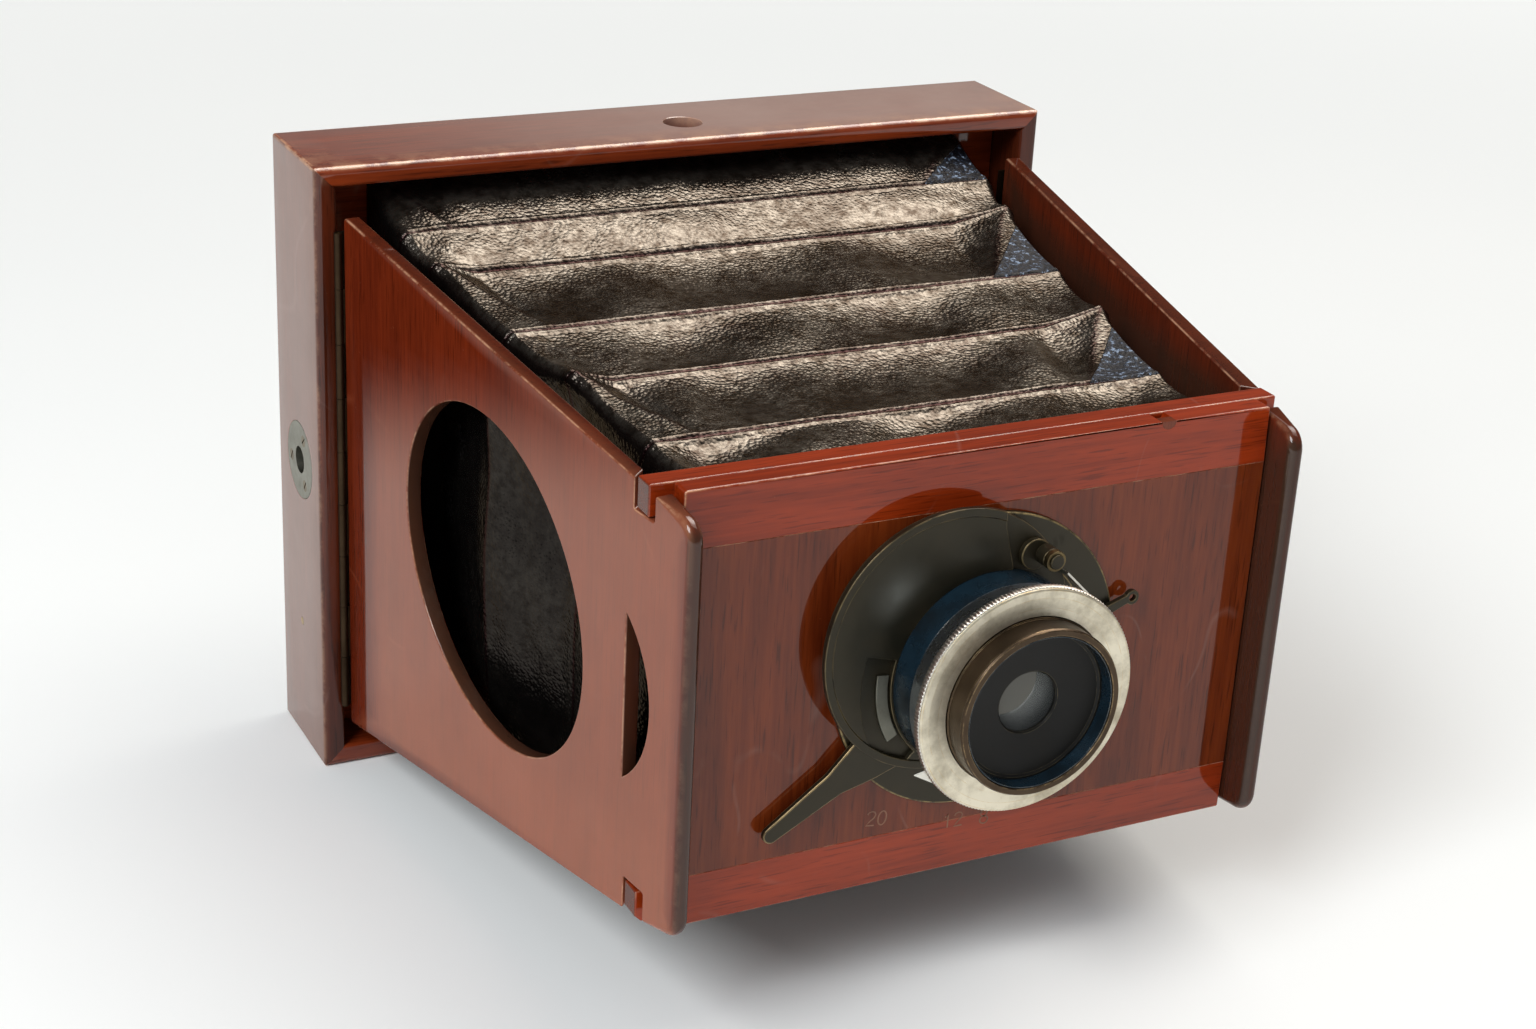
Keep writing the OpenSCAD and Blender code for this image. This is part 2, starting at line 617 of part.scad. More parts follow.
knurl_n = 120;
module knurled_ring() color(nickel) on_lens() difference() {
  translate([0, 0, ring_z + 0.1]) linear_extrude(height = 1.5)
    polygon([for (i = [0:2 * knurl_n - 1])
      let (a = i * 180 / knurl_n, r = i % 2 == 0 ? knurl_r : knurl_r - 0.28)
        [r * cos(a), r * sin(a)]]);
  translate([0, 0, ring_z - 1]) cylinder(r = hood_r + 0.2 + run_gap, h = 4, $fn = 96);
}

// Dished front face of the ring
module ring_face() color(nickel) on_lens() translate([0, 0, ring_z + 1.6])
  rotate_extrude($fn = 96) polygon([[hood_r + 0.4, 0], [knurl_r - 0.3, 0],
    [knurl_r - 0.5, 0.3], [knurl_r - 1.8, 0.3], [knurl_r - 3.6, 0.12], [hood_r + 0.4, 0.1]]);

module pointer() color([0.9, 0.9, 0.86]) on_lens() translate([0, 0, ring_z - 0.3])
  linear_extrude(height = 0.4) polygon([[-13.95, -12.5], [-15.95, -9.85],
    [-17.9, -10.25]]);

// Focusing screen at the back, hung from the top board
module screen_frame() color(wood) difference() {
  translate([-screen_hw, screen_y, wall + screen_gap])
    cube([2 * screen_hw, screen_t, frame_h - wall_top - wall - 1.1]);
  translate([-gate_w / 2, screen_y - 1, gate_z - gate_h / 2]) cube([gate_w, 20, gate_h]);
  translate([-glass_w / 2 - 0.5, rebate_y, gate_z - glass_h / 2 - 0.5])
    cube([glass_w + 1, 20, glass_h + 1]);
}

module ground_glass() color([0.85, 0.88, 0.86, 0.6])
  translate([-glass_w / 2, rebate_y, gate_z - glass_h / 2]) cube([glass_w, glass_t, glass_h]);

module glass_clips() color(brass) for (x = [-glass_w / 2 - 0.5, glass_w / 2 - 5.5],
    z = [-22, 22]) translate([x, rebate_y + glass_t, gate_z + z - 2.5]) difference() {
  cube([6, 0.5, 5]);
  translate([3, -1, 2.5]) rotate([-90, 0, 0]) cylinder(r = 0.5, h = 3, $fn = 16);
}

scr_x = [-42, 42];
scr_k = 5.6;

module screen_hinges_fixed() color(brass) for (x = scr_x) difference() {
  union() {
    for (i = [-1, 1]) translate([x + i * scr_k - scr_k / 2 + 0.05, scr_y, scr_z])
      rotate([0, 90, 0]) cylinder(r = scr_r, h = scr_k - 0.1, $fn = 32);
    translate([x - 8.4, frame_d, frame_h - 2.4]) cube([16.8, 0.5, 2.2]);
    for (i = [-1, 1]) translate([x + i * scr_k - scr_k / 2 + 0.05, frame_d, scr_z])
      cube([scr_k - 0.1, 0.5, frame_h - 2.3 - scr_z]);
  }
  translate([x - 10, scr_y, scr_z]) rotate([0, 90, 0])
    cylinder(r = 0.45, h = 20, $fn = 24);
}

module screen_hinge_pins() color(brass) for (x = scr_x)
  translate([x - 8.2, scr_y, scr_z]) rotate([0, 90, 0])
    cylinder(r = 0.45, h = 16.4, $fn = 24);

module screen_hinge_leaves() color(brass) for (x = scr_x) difference() {
  union() {
    translate([x - scr_k / 2 + 0.05, scr_y, scr_z])
      rotate([0, 90, 0]) cylinder(r = scr_r - 0.05, h = scr_k - 0.1, $fn = 32);
    translate([x - 8.4, frame_d - 0.2, scr_z - 6.6]) cube([16.8, 0.5, 5.2]);
    translate([x - scr_k / 2 + 0.05, frame_d - 0.2, scr_z - 1.6])
      cube([scr_k - 0.1, 0.5, 1.2]);
    translate([x - scr_k / 2 + 0.05, frame_d + 0.1, scr_z - 0.9])
      cube([scr_k - 0.1, 0.7, 0.9]);
  }
  translate([x - 10, scr_y, scr_z]) rotate([0, 90, 0])
    cylinder(r = 0.48, h = 20, $fn = 24);
}

module screen_button() color(brass) translate([0, frame_d + 0.15, wall / 2])
  rotate([-90, 0, 0]) linear_extrude(height = 1) difference() {
    union() {
      circle(r = 1.7, $fn = 32);
      translate([0, -1.5]) square([9, 3]);
      translate([9, 0]) circle(r = 1.5, $fn = 32);
    }
    circle(r = 0.75, $fn = 24);
  }

module button_screw() color(brass) translate([0, frame_d - 3, wall / 2])
  rotate([-90, 0, 0]) union() {
    cylinder(r = 0.7, h = 4.3, $fn = 24);
    translate([0, 0, 4.2]) cylinder(r = 1.3, h = 0.8, $fn = 24);
  }

translate([0, oy, 0]) {
  frame_top();
  frame_bottom();
  frame_left();
  frame_right();
  bellows_frame();
  bellows();
  tripod_bush();
  bush_screws();
  brass_pin();
  left_hinge_fixed();
  left_hinge_pin();
  right_hinge_fixed();
  right_hinge_pin();
  screen_hinges_fixed();
  screen_hinge_pins();
  button_screw();
  left_wing();
  left_hinge_leaf();
  right_wing();
  right_hinge_leaf();
  rear_board();
  lens_panel();
  clamp_top();
  clamp_bottom();
  top_plug();
  panel_pins();
  lens_base();
  base_screws();
  release_screw();
  focus_lever();
  release_lever();
  case_plate();
  shutter_case();
  case_rim();
  barrel();
  silver_band();
  hood();
  hood_rim();
  stop_plate();
  front_glass();
  lens_tube();
  rear_cell();
  rear_glass();
  pivot_boss();
  spring_strip();
  window_blade();
  shutter_blade();
  blade_pin();
  knurled_ring();
  ring_face();
  pointer();
  setting_post();
  post_ring();
  screen_frame();
  ground_glass();
  glass_clips();
  screen_hinge_leaves();
  screen_button();
}
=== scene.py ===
# %% [markdown]
# # A folding plate camera, piece by piece
# The solids of the camera are loaded as a frame: they know where every board, ring and screw sits and how
# it moves. This script dresses them. Boards, lens rings and bellows are surfaces worked out with numpy, the
# small parts are copies of their solids with softened edges, and each finish is a small node tree. Every
# piece rides on the body that it belongs to.

# %% Load the frame
import json
import math
import bpy
import bmesh
import numpy as np
from mathutils import Matrix, Vector
from mathutils.geometry import delaunay_2d_cdt


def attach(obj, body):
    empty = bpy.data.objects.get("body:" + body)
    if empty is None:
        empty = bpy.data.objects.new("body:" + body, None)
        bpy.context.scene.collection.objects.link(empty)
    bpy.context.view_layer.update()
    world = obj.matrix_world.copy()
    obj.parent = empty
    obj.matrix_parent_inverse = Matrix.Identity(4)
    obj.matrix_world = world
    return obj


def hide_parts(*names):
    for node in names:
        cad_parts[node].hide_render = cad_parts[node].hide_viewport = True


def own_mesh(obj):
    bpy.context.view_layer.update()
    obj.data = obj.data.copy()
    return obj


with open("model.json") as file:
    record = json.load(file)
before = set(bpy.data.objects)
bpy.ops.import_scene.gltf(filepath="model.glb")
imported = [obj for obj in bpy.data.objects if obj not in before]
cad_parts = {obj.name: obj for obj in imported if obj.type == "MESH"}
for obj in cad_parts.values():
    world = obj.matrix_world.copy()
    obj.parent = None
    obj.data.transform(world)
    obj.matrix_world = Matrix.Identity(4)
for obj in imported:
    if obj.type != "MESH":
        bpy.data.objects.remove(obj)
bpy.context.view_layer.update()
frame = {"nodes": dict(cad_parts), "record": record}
nodes = frame["nodes"]

# %% [markdown]
# Sizes are easier to read in millimetres, measured from the front face of the box frame: x across, f
# forward towards the lens, z up. One helper turns them into the metres of the frame.

# %% Millimetres to metres
SHIFT = 50.6          # the frame's front face lies this far behind the middle of the whole
LENS = (-0.3, 60.65)  # the lens axis, across and up


def place(x, f, z):
    """Point = (x, shift - f, z) / 1000: forward distance f becomes -Y in metres."""
    x, f, z = np.broadcast_arrays(x, f, z)
    return np.stack([x, SHIFT - f, z], -1).reshape(-1, 3) * 0.001


def soft_step(a, b, x):
    """Smooth rise from 0 at a to 1 at b: t*t*(3 - 2t)."""
    t = np.clip((x - a) / (b - a), 0, 1)
    return t * t * (3 - 2 * t)


print("lens axis at", place(LENS[0], 107.6, LENS[1])[0].round(4))

# %% [markdown]
# A mesh is only points and faces. One helper stores both, with smooth shading, optional exact normals and
# named attributes that the finishes read later (worn edges, fold lines, cloth).

# %% Make a piece
def put(name, data):
    """A new object that shows `data`, linked into the scene."""
    obj = bpy.data.objects.new(name, data)
    bpy.context.scene.collection.objects.link(obj)
    return obj


def make_piece(name, points, faces, body, finish, stands_for=(), normals=None, data=None,
               flip=False):
    """Builds the mesh `name` from points (n x 3, metres) and faces, and hangs it on `body`."""
    faces = [tuple(reversed(f)) for f in faces] if flip else faces
    mesh = bpy.data.meshes.new(name)
    mesh.from_pydata(points.tolist(), [], [tuple(int(i) for i in f) for f in faces])
    mesh.polygons.foreach_set("use_smooth", np.ones(len(mesh.polygons), bool))
    for key, values in (data or {}).items():
        layer = mesh.attributes.new(key, "FLOAT", "POINT")
        layer.data.foreach_set("value", np.asarray(values, np.float32).ravel())
    mesh.update()
    if normals is not None:
        mesh.normals_split_custom_set_from_vertices(np.asarray(normals, float).tolist())
    piece = put(name, mesh)
    mesh.materials.append(finish)
    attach(piece, body)
    if stands_for:
        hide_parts(*stands_for)
    return piece


def grid_faces(rows, cols, close_rows=False, close_cols=False):
    """Quads of a rows x cols grid of points; a closed direction joins its last line to its first."""
    r = np.arange(rows if close_rows else rows - 1)[:, None]
    c = np.arange(cols if close_cols else cols - 1)[None, :]
    r2, c2 = (r + 1) % rows, (c + 1) % cols
    quad = np.stack(np.broadcast_arrays(r * cols + c, r2 * cols + c, r2 * cols + c2, r * cols + c2), -1)
    return quad.reshape(-1, 4)


def tidy_normals(piece, sharp, merge=0.0):
    """Merges points closer than `merge`, turns every face outwards, and keeps bends over `sharp` degrees."""
    mesh = bmesh.new()
    mesh.from_mesh(piece.data)
    if merge:
        bmesh.ops.remove_doubles(mesh, verts=mesh.verts, dist=merge)
    bmesh.ops.recalc_face_normals(mesh, faces=mesh.faces)
    mesh.to_mesh(piece.data)
    mesh.free()
    piece.data.set_sharp_from_angle(angle=math.radians(sharp))


print("a 3 x 4 grid has", len(grid_faces(3, 4)), "faces")

# %% [markdown]
# ## Finishes
# French-polished mahogany is a clear, very smooth coat over wood whose colour runs in fibres: long thin
# streaks, short dark pores, slow ribbons, and pale wood where the arrises are rubbed through. A picture of
# wood could be laid on, but it would stretch on the arrises. Noise stretched along the grain runs through
# the whole board like real fibres, and the gloss comes from the shader's coat.

# %% A small node toolbox
def feed(tree, value, socket):
    """A socket takes another node's output or a constant; a colour gets its alpha of 1 here."""
    if hasattr(value, "links"):
        tree.links.new(value, socket)
    else:
        socket.default_value = (*value, 1) if socket.type == "RGBA" else value


def dress(tree, node, **values):
    """Feeds the named sockets of a node; Base_Color stands for the socket Base Color."""
    for key, value in values.items():
        feed(tree, value, node.inputs[key.replace("_", " ")])


def add(tree, kind, **values):
    """A new node: names that start with in_ are its sockets, the others are its settings."""
    node = tree.nodes.new(kind)
    for key, value in values.items():
        if key.startswith("in_"):
            dress(tree, node, **{key[3:]: value})
        else:
            setattr(node, key, value)
    return node


def node_tree(name):
    """A new material, its tree, its shader and the object's own coordinates."""
    mat = bpy.data.materials.new(name)
    mat.use_nodes = True
    tree = mat.node_tree
    return mat, tree, tree.nodes["Principled BSDF"], add(tree, "ShaderNodeTexCoord").outputs["Object"]


def noise(tree, coords, scale, detail=4.0, rough=0.5, stretch=(1, 1, 1), turn=(0, 0, 0)):
    """Noise of the object's own coordinates, squeezed by `stretch` along each axis."""
    mapping = add(tree, "ShaderNodeMapping", in_Scale=stretch, in_Rotation=turn, in_Vector=coords)
    tex = add(tree, "ShaderNodeTexNoise", in_Scale=scale, in_Detail=detail, in_Roughness=rough,
              in_Vector=mapping.outputs[0])
    return tex.outputs["Fac"]


def ramp(tree, value, *stops):
    """Colours along a value; a stop is (place, colour) or (place, grey)."""
    node = add(tree, "ShaderNodeValToRGB")
    elements = node.color_ramp.elements
    while len(elements) < len(stops):
        elements.new(0.5)
    for element, (at, colour) in zip(elements, stops):
        element.position = at
        element.color = (*colour, 1) if isinstance(colour, tuple) else (colour, colour, colour, 1)
    feed(tree, value, node.inputs[0])
    return node.outputs[0]


def mix(tree, amount, a, b):
    node = add(tree, "ShaderNodeMix", data_type="RGBA", blend_type="MIX")
    for value, socket in zip((amount, a, b), (node.inputs[0], node.inputs[6], node.inputs[7])):
        feed(tree, value, socket)
    return node.outputs[2]


def calc(tree, kind, a, b=0.0, clamp=False):
    node = add(tree, "ShaderNodeMath", operation=kind, use_clamp=clamp)
    feed(tree, a, node.inputs[0])
    feed(tree, b, node.inputs[1])
    return node.outputs[0]


def times(tree, a, b, clamp=False):
    return calc(tree, "MULTIPLY", a, b, clamp)


def bump(tree, shader, height, strength, distance, under=None):
    """Small relief from a height; `under` is a coarser relief that it adds to."""
    node = add(tree, "ShaderNodeBump", in_Strength=strength, in_Distance=distance, in_Height=height)
    if under is not None:
        feed(tree, under, node.inputs["Normal"])
    feed(tree, node.outputs[0], shader.inputs["Normal"])
    return node.outputs[0]


def attribute(tree, name):
    return add(tree, "ShaderNodeAttribute", attribute_name=name).outputs["Fac"]


# %% Mahogany
def mahogany(name, grain, light, dark, seed=0.0, haze=0.06, pale=(0.42, 0.28, 0.23), polish=0.8):
    """Wood with its fibres along the axis `grain` (0, 1 or 2). `haze_and_reflection` pales it with polish
    haze and painted reflection, `stain` darkens it with stains and painted shade.
    """
    mat, tree, shader, own = node_tree(name)
    shift = add(tree, "ShaderNodeMapping", in_Location=(seed, seed * 0.7, seed * 1.3), in_Vector=own)
    coords = shift.outputs[0]

    def along(squeeze):
        return [squeeze if i == grain else 1.0 for i in range(3)]

    fibre = noise(tree, coords, 1100, 3, 0.65, along(0.05))
    band = noise(tree, coords, 120, 3, 0.55, along(0.16))
    slow = noise(tree, coords, 24, 2, 0.5)
    pores = noise(tree, coords, 2600, 1.5, 0.6, along(0.05))
    # the wood: fibres and bands mixed, slow ribbons, dark pores
    tone = calc(tree, "ADD", times(tree, fibre, 0.45), times(tree, band, 0.55))
    middle = tuple((x + y) / 2 for x, y in zip(dark, light))
    colour = ramp(tree, tone, (0.36, dark), (0.5, middle), (0.64, light))
    colour = mix(tree, times(tree, slow, 0.4), colour, tuple(c * 0.6 for c in dark))
    pore = ramp(tree, pores, (0.58, 0), (0.68, 1))
    colour = mix(tree, times(tree, pore, 0.5), colour, tuple(c * 0.25 for c in dark))
    # its age: haze with painted reflection, small specks, rubbed arrises, a few hair scratches, stain with
    # painted shade
    cloudy = ramp(tree, noise(tree, coords, 75, 4, 0.6), (0.3, 0.84), (0.7, 1))
    haze_and_reflection = times(tree, attribute(tree, "haze_and_reflection"), cloudy)
    # pale haze of old polish, and painted reflection where the points ask for more of it
    colour = mix(tree, haze_and_reflection, colour, pale)
    speck = ramp(tree, noise(tree, coords, 700, 4, 0.8), (0.68, 0), (0.73, 1))
    colour = mix(tree, times(tree, speck, 0.16), colour, (0.42, 0.17, 0.09))
    worn = times(tree, attribute(tree, "arris"),
                ramp(tree, noise(tree, coords, 170, 5, 0.75), (0.44, 0), (0.60, 1)), True)
    colour = mix(tree, times(tree, worn, 0.75), colour, (0.70, 0.40, 0.24))
    drift = calc(tree, "ABSOLUTE", calc(tree, "SUBTRACT", noise(tree, coords, 26, 1.5, 0.5,
                 (1, 0.35, 0.7), (0.3, 0.2, 0.9)), 0.5))
    hair = ramp(tree, drift, (0.0, 1), (0.0035, 0))
    patch = ramp(tree, noise(tree, coords, 60, 3, 0.6), (0.50, 0), (0.60, 1))
    colour = mix(tree, times(tree, times(tree, hair, patch), 0.10), colour, pale)
    colour = mix(tree, attribute(tree, "stain"), colour, (0.030, 0.018, 0.011))
    rough = ramp(tree, noise(tree, coords, 60, 3, 0.6), (0.3, 0.36), (0.7, 0.5))
    thin = calc(tree, "SUBTRACT", polish, times(tree, attribute(tree, "matt"), polish))
    dress(tree, shader, Base_Color=colour, Roughness=rough, Specular_IOR_Level=0.0, Coat_Weight=thin,
          Coat_Roughness=haze, Coat_IOR=1.58)
    ripple = bump(tree, shader, noise(tree, coords, 55, 2, 0.5), 0.10, 0.0006)
    relief = calc(tree, "SUBTRACT", times(tree, fibre, 0.3), pore)
    bump(tree, shader, relief, 0.08, 0.00005, ripple)
    dress(tree, shader, Coat_Normal=ripple)
    return mat


RED, DEEP = (0.27, 0.042, 0.010), (0.135, 0.017, 0.004)
wood_across = mahogany("mahogany_across", 0, RED, DEEP, 0.1, polish=1.0)
wood_upright = mahogany("mahogany_upright", 2, (0.12, 0.022, 0.008), (0.05, 0.010, 0.004), 0.4, polish=0.72)
wood_wing = mahogany("mahogany_wing", 2, (0.150, 0.019, 0.005), (0.075, 0.009, 0.003), 0.7, 0.05,
                     (0.46, 0.15, 0.075), 0.7)
wood_panel = mahogany("mahogany_panel", 2, (0.215, 0.037, 0.007), (0.095, 0.014, 0.003), 1.3, 0.05,
                      polish=0.65)
wood_strip = mahogany("mahogany_strip", 0, (0.37, 0.040, 0.006), (0.20, 0.020, 0.003), 1.7, 0.05, polish=0.65)
print("mahogany finishes:", len([m for m in bpy.data.materials if m.name.startswith("mahogany")]))

# %% [markdown]
# The bellows is thin black skiver leather: a fine pebble with a soft wax shine. The corner gussets are
# woven cloth with a blue cast. Two materials could be set face by face, but their border would be stepped.
# So one finish does both, and a number stored with each point says how much of it is cloth. A second number
# darkens the sides of the bellows as painted shade, and the left cloth corners get the dark leather colour,
# also painted shade.

# %% Leather and cloth
def bellows_leather():
    """Waxed leather with a pebble, maroon seams where `fold` is high, blue cloth where `cloth` > 0.5 with
    bright flecks that are painted sheen, and painted shade on the sides where `painted_side_shade` is high.
    The wax mirrors brown light, more on the rubbed grain than in the hollows: a dark metal is used for that."""
    mat, tree, shader, coords = node_tree("bellows_leather")
    cells = add(tree, "ShaderNodeTexVoronoi", feature="F1", in_Scale=1500.0, in_Randomness=1.0,
                in_Vector=coords)
    pebble = cells.outputs["Distance"]
    crease = noise(tree, coords, 330, 5, 0.62, (1, 1.5, 1.5))
    blotch = noise(tree, coords, 85, 4, 0.6)
    fold = attribute(tree, "fold")
    cloth = ramp(tree, attribute(tree, "cloth"), (0.44, 0), (0.56, 1))
    hide = ramp(tree, noise(tree, coords, 520, 5, 0.72), (0.38, (0.045, 0.034, 0.026)),
                (0.60, (0.150, 0.131, 0.110)))
    hide = mix(tree, ramp(tree, blotch, (0.36, 0.6), (0.56, 0)), hide, (0.026, 0.018, 0.014))
    # painted shade: the sides of the bellows get a much darker hide colour
    hide = mix(tree, times(tree, attribute(tree, "painted_side_shade"), 0.85), hide, (0.010, 0.009, 0.009))
    hide = mix(tree, times(tree, fold, 0.9), hide, (0.016, 0.003, 0.005))
    weave = noise(tree, coords, 900, 4, 0.75)
    # the cloth's weave: dark navy threads, with bright blue flecks that are painted sheen
    blue = ramp(tree, weave, (0.46, (0.003, 0.004, 0.007)), (0.56, (0.010, 0.016, 0.030)),
                (0.64, (0.26, 0.33, 0.44)))
    rough = ramp(tree, blotch, (0.35, 0.19), (0.65, 0.29))
    rough = calc(tree, "ADD", rough, times(tree, cloth, 0.25), True)
    mirror = times(tree, calc(tree, "SUBTRACT", 1.0, cloth), 0.85)
    dress(tree, shader, Base_Color=mix(tree, cloth, hide, blue), Roughness=rough, Metallic=mirror,
          Specular_IOR_Level=0.4, Specular_Tint=(0.55, 0.48, 0.40))
    low = bump(tree, shader, crease, 0.07, 0.0006)
    grain = calc(tree, "ADD", times(tree, pebble, -1.0), times(tree, times(tree, weave, cloth), 3.0))
    bump(tree, shader, grain, 0.6, 0.0002, low)
    return mat


leather = bellows_leather()
print("leather:", len(leather.node_tree.nodes), "nodes")

# %% [markdown]
# The metal is brass under black lacquer, and nickel plate gone cloudy. One function makes every kind,
# because they differ only in colour, roughness and in what shows where they are rubbed.

# %% Metals and glass
def metal(name, base, rough, tarnish, spots=0.5, worn=(0.62, 0.45, 0.2), metallic=1.0, scratch=0.25,
          gloss=0.5, tint=(1, 1, 1)):
    """Plated or lacquered metal: cloudy tarnish, fine scratches, and bare metal where `arris` is high."""
    mat, tree, shader, coords = node_tree(name)
    cloud = noise(tree, coords, 130, 6, 0.68)
    fine = noise(tree, coords, 1400, 3, 0.7)
    patch = ramp(tree, cloud, (0.42, 0), (0.72, 1))
    colour = mix(tree, times(tree, patch, spots), base, tarnish)
    rub = times(tree, attribute(tree, "arris"),
                ramp(tree, noise(tree, coords, 420, 5, 0.75), (0.40, 0), (0.60, 1)), True)
    level = calc(tree, "ADD", rough, times(tree, calc(tree, "SUBTRACT", cloud, 0.5), 0.35))
    dress(tree, shader, Base_Color=mix(tree, rub, colour, worn),
          Metallic=calc(tree, "MAXIMUM", rub, metallic) if metallic < 1 else 1.0,
          Roughness=calc(tree, "ADD", level, times(tree, fine, 0.06), True),
          Specular_IOR_Level=gloss, Specular_Tint=tint)
    bump(tree, shader, fine, scratch, 0.00003)
    return mat


GOLD = (0.5, 0.4, 0.2)   # rubbed brass on the lacquered edges
nickel = metal("nickel", (0.72, 0.69, 0.62), 0.34, (0.30, 0.27, 0.21), 0.45)
nickel_face = metal("nickel_face", (0.80, 0.74, 0.60), 0.46, (0.26, 0.21, 0.13), 0.75)
band_steel = metal("band_steel", (0.55, 0.60, 0.66), 0.26, (0.10, 0.16, 0.26), 0.6)
old_brass = metal("old_brass", (0.50, 0.36, 0.17), 0.36, (0.16, 0.10, 0.05), 0.6, (0.75, 0.57, 0.30))
# tarnished brass, darkened further to near black as painted shade of the gap between frame and wing
hinge_brass_tarnish_and_shade = metal("hinge_brass_tarnish_and_shade", (0.055, 0.035, 0.020), 0.45, (0.02, 0.012, 0.007), 0.7, (0.5, 0.36, 0.18))
hood_brass = metal("hood_brass", (0.075, 0.052, 0.034), 0.34, (0.03, 0.02, 0.014), 0.5, (0.34, 0.24, 0.13))
lacquer = metal("black_lacquer", (0.008, 0.007, 0.004), 0.33, (0.020, 0.015, 0.008), 0.7,
                (0.50, 0.38, 0.18), 0.0, 0.12, 0.4, (1, 0.90, 0.70))
edge_wear = metal("lacquer_edge", (0.14, 0.10, 0.05), 0.34, (0.45, 0.33, 0.16), 0.9, GOLD, 0.7)
edge_dark = metal("lacquer_edge_dark", (0.03, 0.025, 0.015), 0.32, (0.30, 0.22, 0.10), 0.6, GOLD, 0.6)
silver_grey = metal("silver_grey", (0.26, 0.255, 0.21), 0.42, (0.16, 0.15, 0.12), 0.7)
dirt_brass = metal("dirty_brass", (0.16, 0.12, 0.06), 0.36, (0.05, 0.035, 0.02), 0.7, (0.6, 0.45, 0.22))
blue_lacquer = metal("blue_lacquer", (0.009, 0.024, 0.038), 0.24, (0.004, 0.005, 0.006), 0.9,
                     (0.45, 0.42, 0.36), 0.3)
dull_black = metal("dull_black", (0.005, 0.0045, 0.004), 0.44, (0.014, 0.012, 0.009), 0.5,
                   (0.2, 0.17, 0.1), 0.0, gloss=0.22)
blade_grey = metal("blade_grey", (0.11, 0.105, 0.09), 0.42, (0.12, 0.12, 0.11), 0.5, (0.3, 0.3, 0.3), 0.3)
scribed = metal("scribed_lines", (0.22, 0.10, 0.055), 0.6, (0.09, 0.03, 0.015), 0.9, (0.4, 0.3, 0.2), 0.0)
paint_white = metal("pointer_white", (0.82, 0.80, 0.72), 0.45, (0.55, 0.50, 0.40), 0.3, (0.8, 0.8, 0.75), 0.0)


def clear_glass(name, rough, tint, milk):
    """Glass with a little dust; `milk` is the share of light that it scatters instead of letting through."""
    mat, tree, shader, coords = node_tree(name)
    dust = ramp(tree, noise(tree, coords, 500, 4, 0.6), (0.4, tint), (0.75, tuple(c * 0.93 for c in tint)))
    dress(tree, shader, Base_Color=dust, Roughness=rough, Transmission_Weight=1 - milk, IOR=1.52)
    return mat


lens_glass = clear_glass("lens_glass", 0.03, (0.92, 0.95, 0.93), 0.22)
ground = clear_glass("ground_glass", 0.55, (0.90, 0.93, 0.91), 0.35)
print("finishes:", len(bpy.data.materials))

# %% [markdown]
# ## Boards
# A board is an outline with rounded corners, given a thickness. Its arrises are quarter rounds: each ring
# of points is the outline moved inwards by r(1 - cos a) and down by r(1 - sin a). The flats between the
# rings are filled with triangles that go round the holes. A cut cube with a Bevel modifier would do for a
# plain board. Here the holes belong to the outline from the start, so every arris keeps its width.

# %% Outlines
def rounded(corners, radius, steps=5):
    """Closed outline with circular corners. Returns points and outward normals: at each corner the arc's
    centre lies r / sin(half angle) along the bisector, and normals turn evenly from side to side."""
    p = np.asarray(corners, float)
    n = len(p)
    r = np.broadcast_to(np.asarray(radius, float), (n,)).copy()
    back, ahead = np.roll(p, 1, 0) - p, np.roll(p, -1, 0) - p
    back /= np.linalg.norm(back, axis=1)[:, None]
    ahead /= np.linalg.norm(ahead, axis=1)[:, None]
    side = np.stack([-back[:, 1], back[:, 0]], 1)        # outward normal of the side that arrives
    leave = np.stack([ahead[:, 1], -ahead[:, 0]], 1)     # outward normal of the side that leaves
    turn = np.arctan2(side[:, 0] * leave[:, 1] - side[:, 1] * leave[:, 0], (side * leave).sum(1))
    half = np.tan(np.abs(turn) / 2)
    start = p + back * (r * half)[:, None]
    sign = np.sign(turn)
    centre = start - side * (r * sign)[:, None]
    a = np.linspace(0, 1, steps + 1)[None, :] * turn[:, None]
    nx = side[:, :1] * np.cos(a) - side[:, 1:] * np.sin(a)
    ny = side[:, :1] * np.sin(a) + side[:, 1:] * np.cos(a)
    normal = np.stack([nx, ny], -1)
    pts = centre[:, None] + normal * (r * sign)[:, None, None]
    return pts.reshape(-1, 2), normal.reshape(-1, 2)


def round_hole(cx, cy, r, count=72):
    """Circle, run the other way round so that the wood lies outside it."""
    a = -np.linspace(0, 2 * np.pi, count, endpoint=False)
    n = np.stack([-np.cos(a), -np.sin(a)], 1)
    return np.array([cx, cy]) - n * r, n


print("a rounded square has", len(rounded([(0, 0), (1, 0), (1, 1), (0, 1)], 0.1)[0]), "points")

# %% Fill an outline with triangles
def within(points, loops):
    """True for points inside the first loop and outside the others (even-odd rule)."""
    found = np.zeros(len(points), bool)
    for loop in loops:
        a, way = loop[None], (np.roll(loop, -1, 0) - loop)[None]
        b = np.roll(loop, -1, 0)[None]
        up = (a[..., 1] > points[:, 1:2]) != (b[..., 1] > points[:, 1:2])
        with np.errstate(divide="ignore", invalid="ignore"):
            cross = a[..., 0] + (points[:, 1:2] - a[..., 1]) * way[..., 0] / way[..., 1]
        found ^= ((up & (points[:, 0:1] < cross)).sum(1) % 2).astype(bool)
    return found


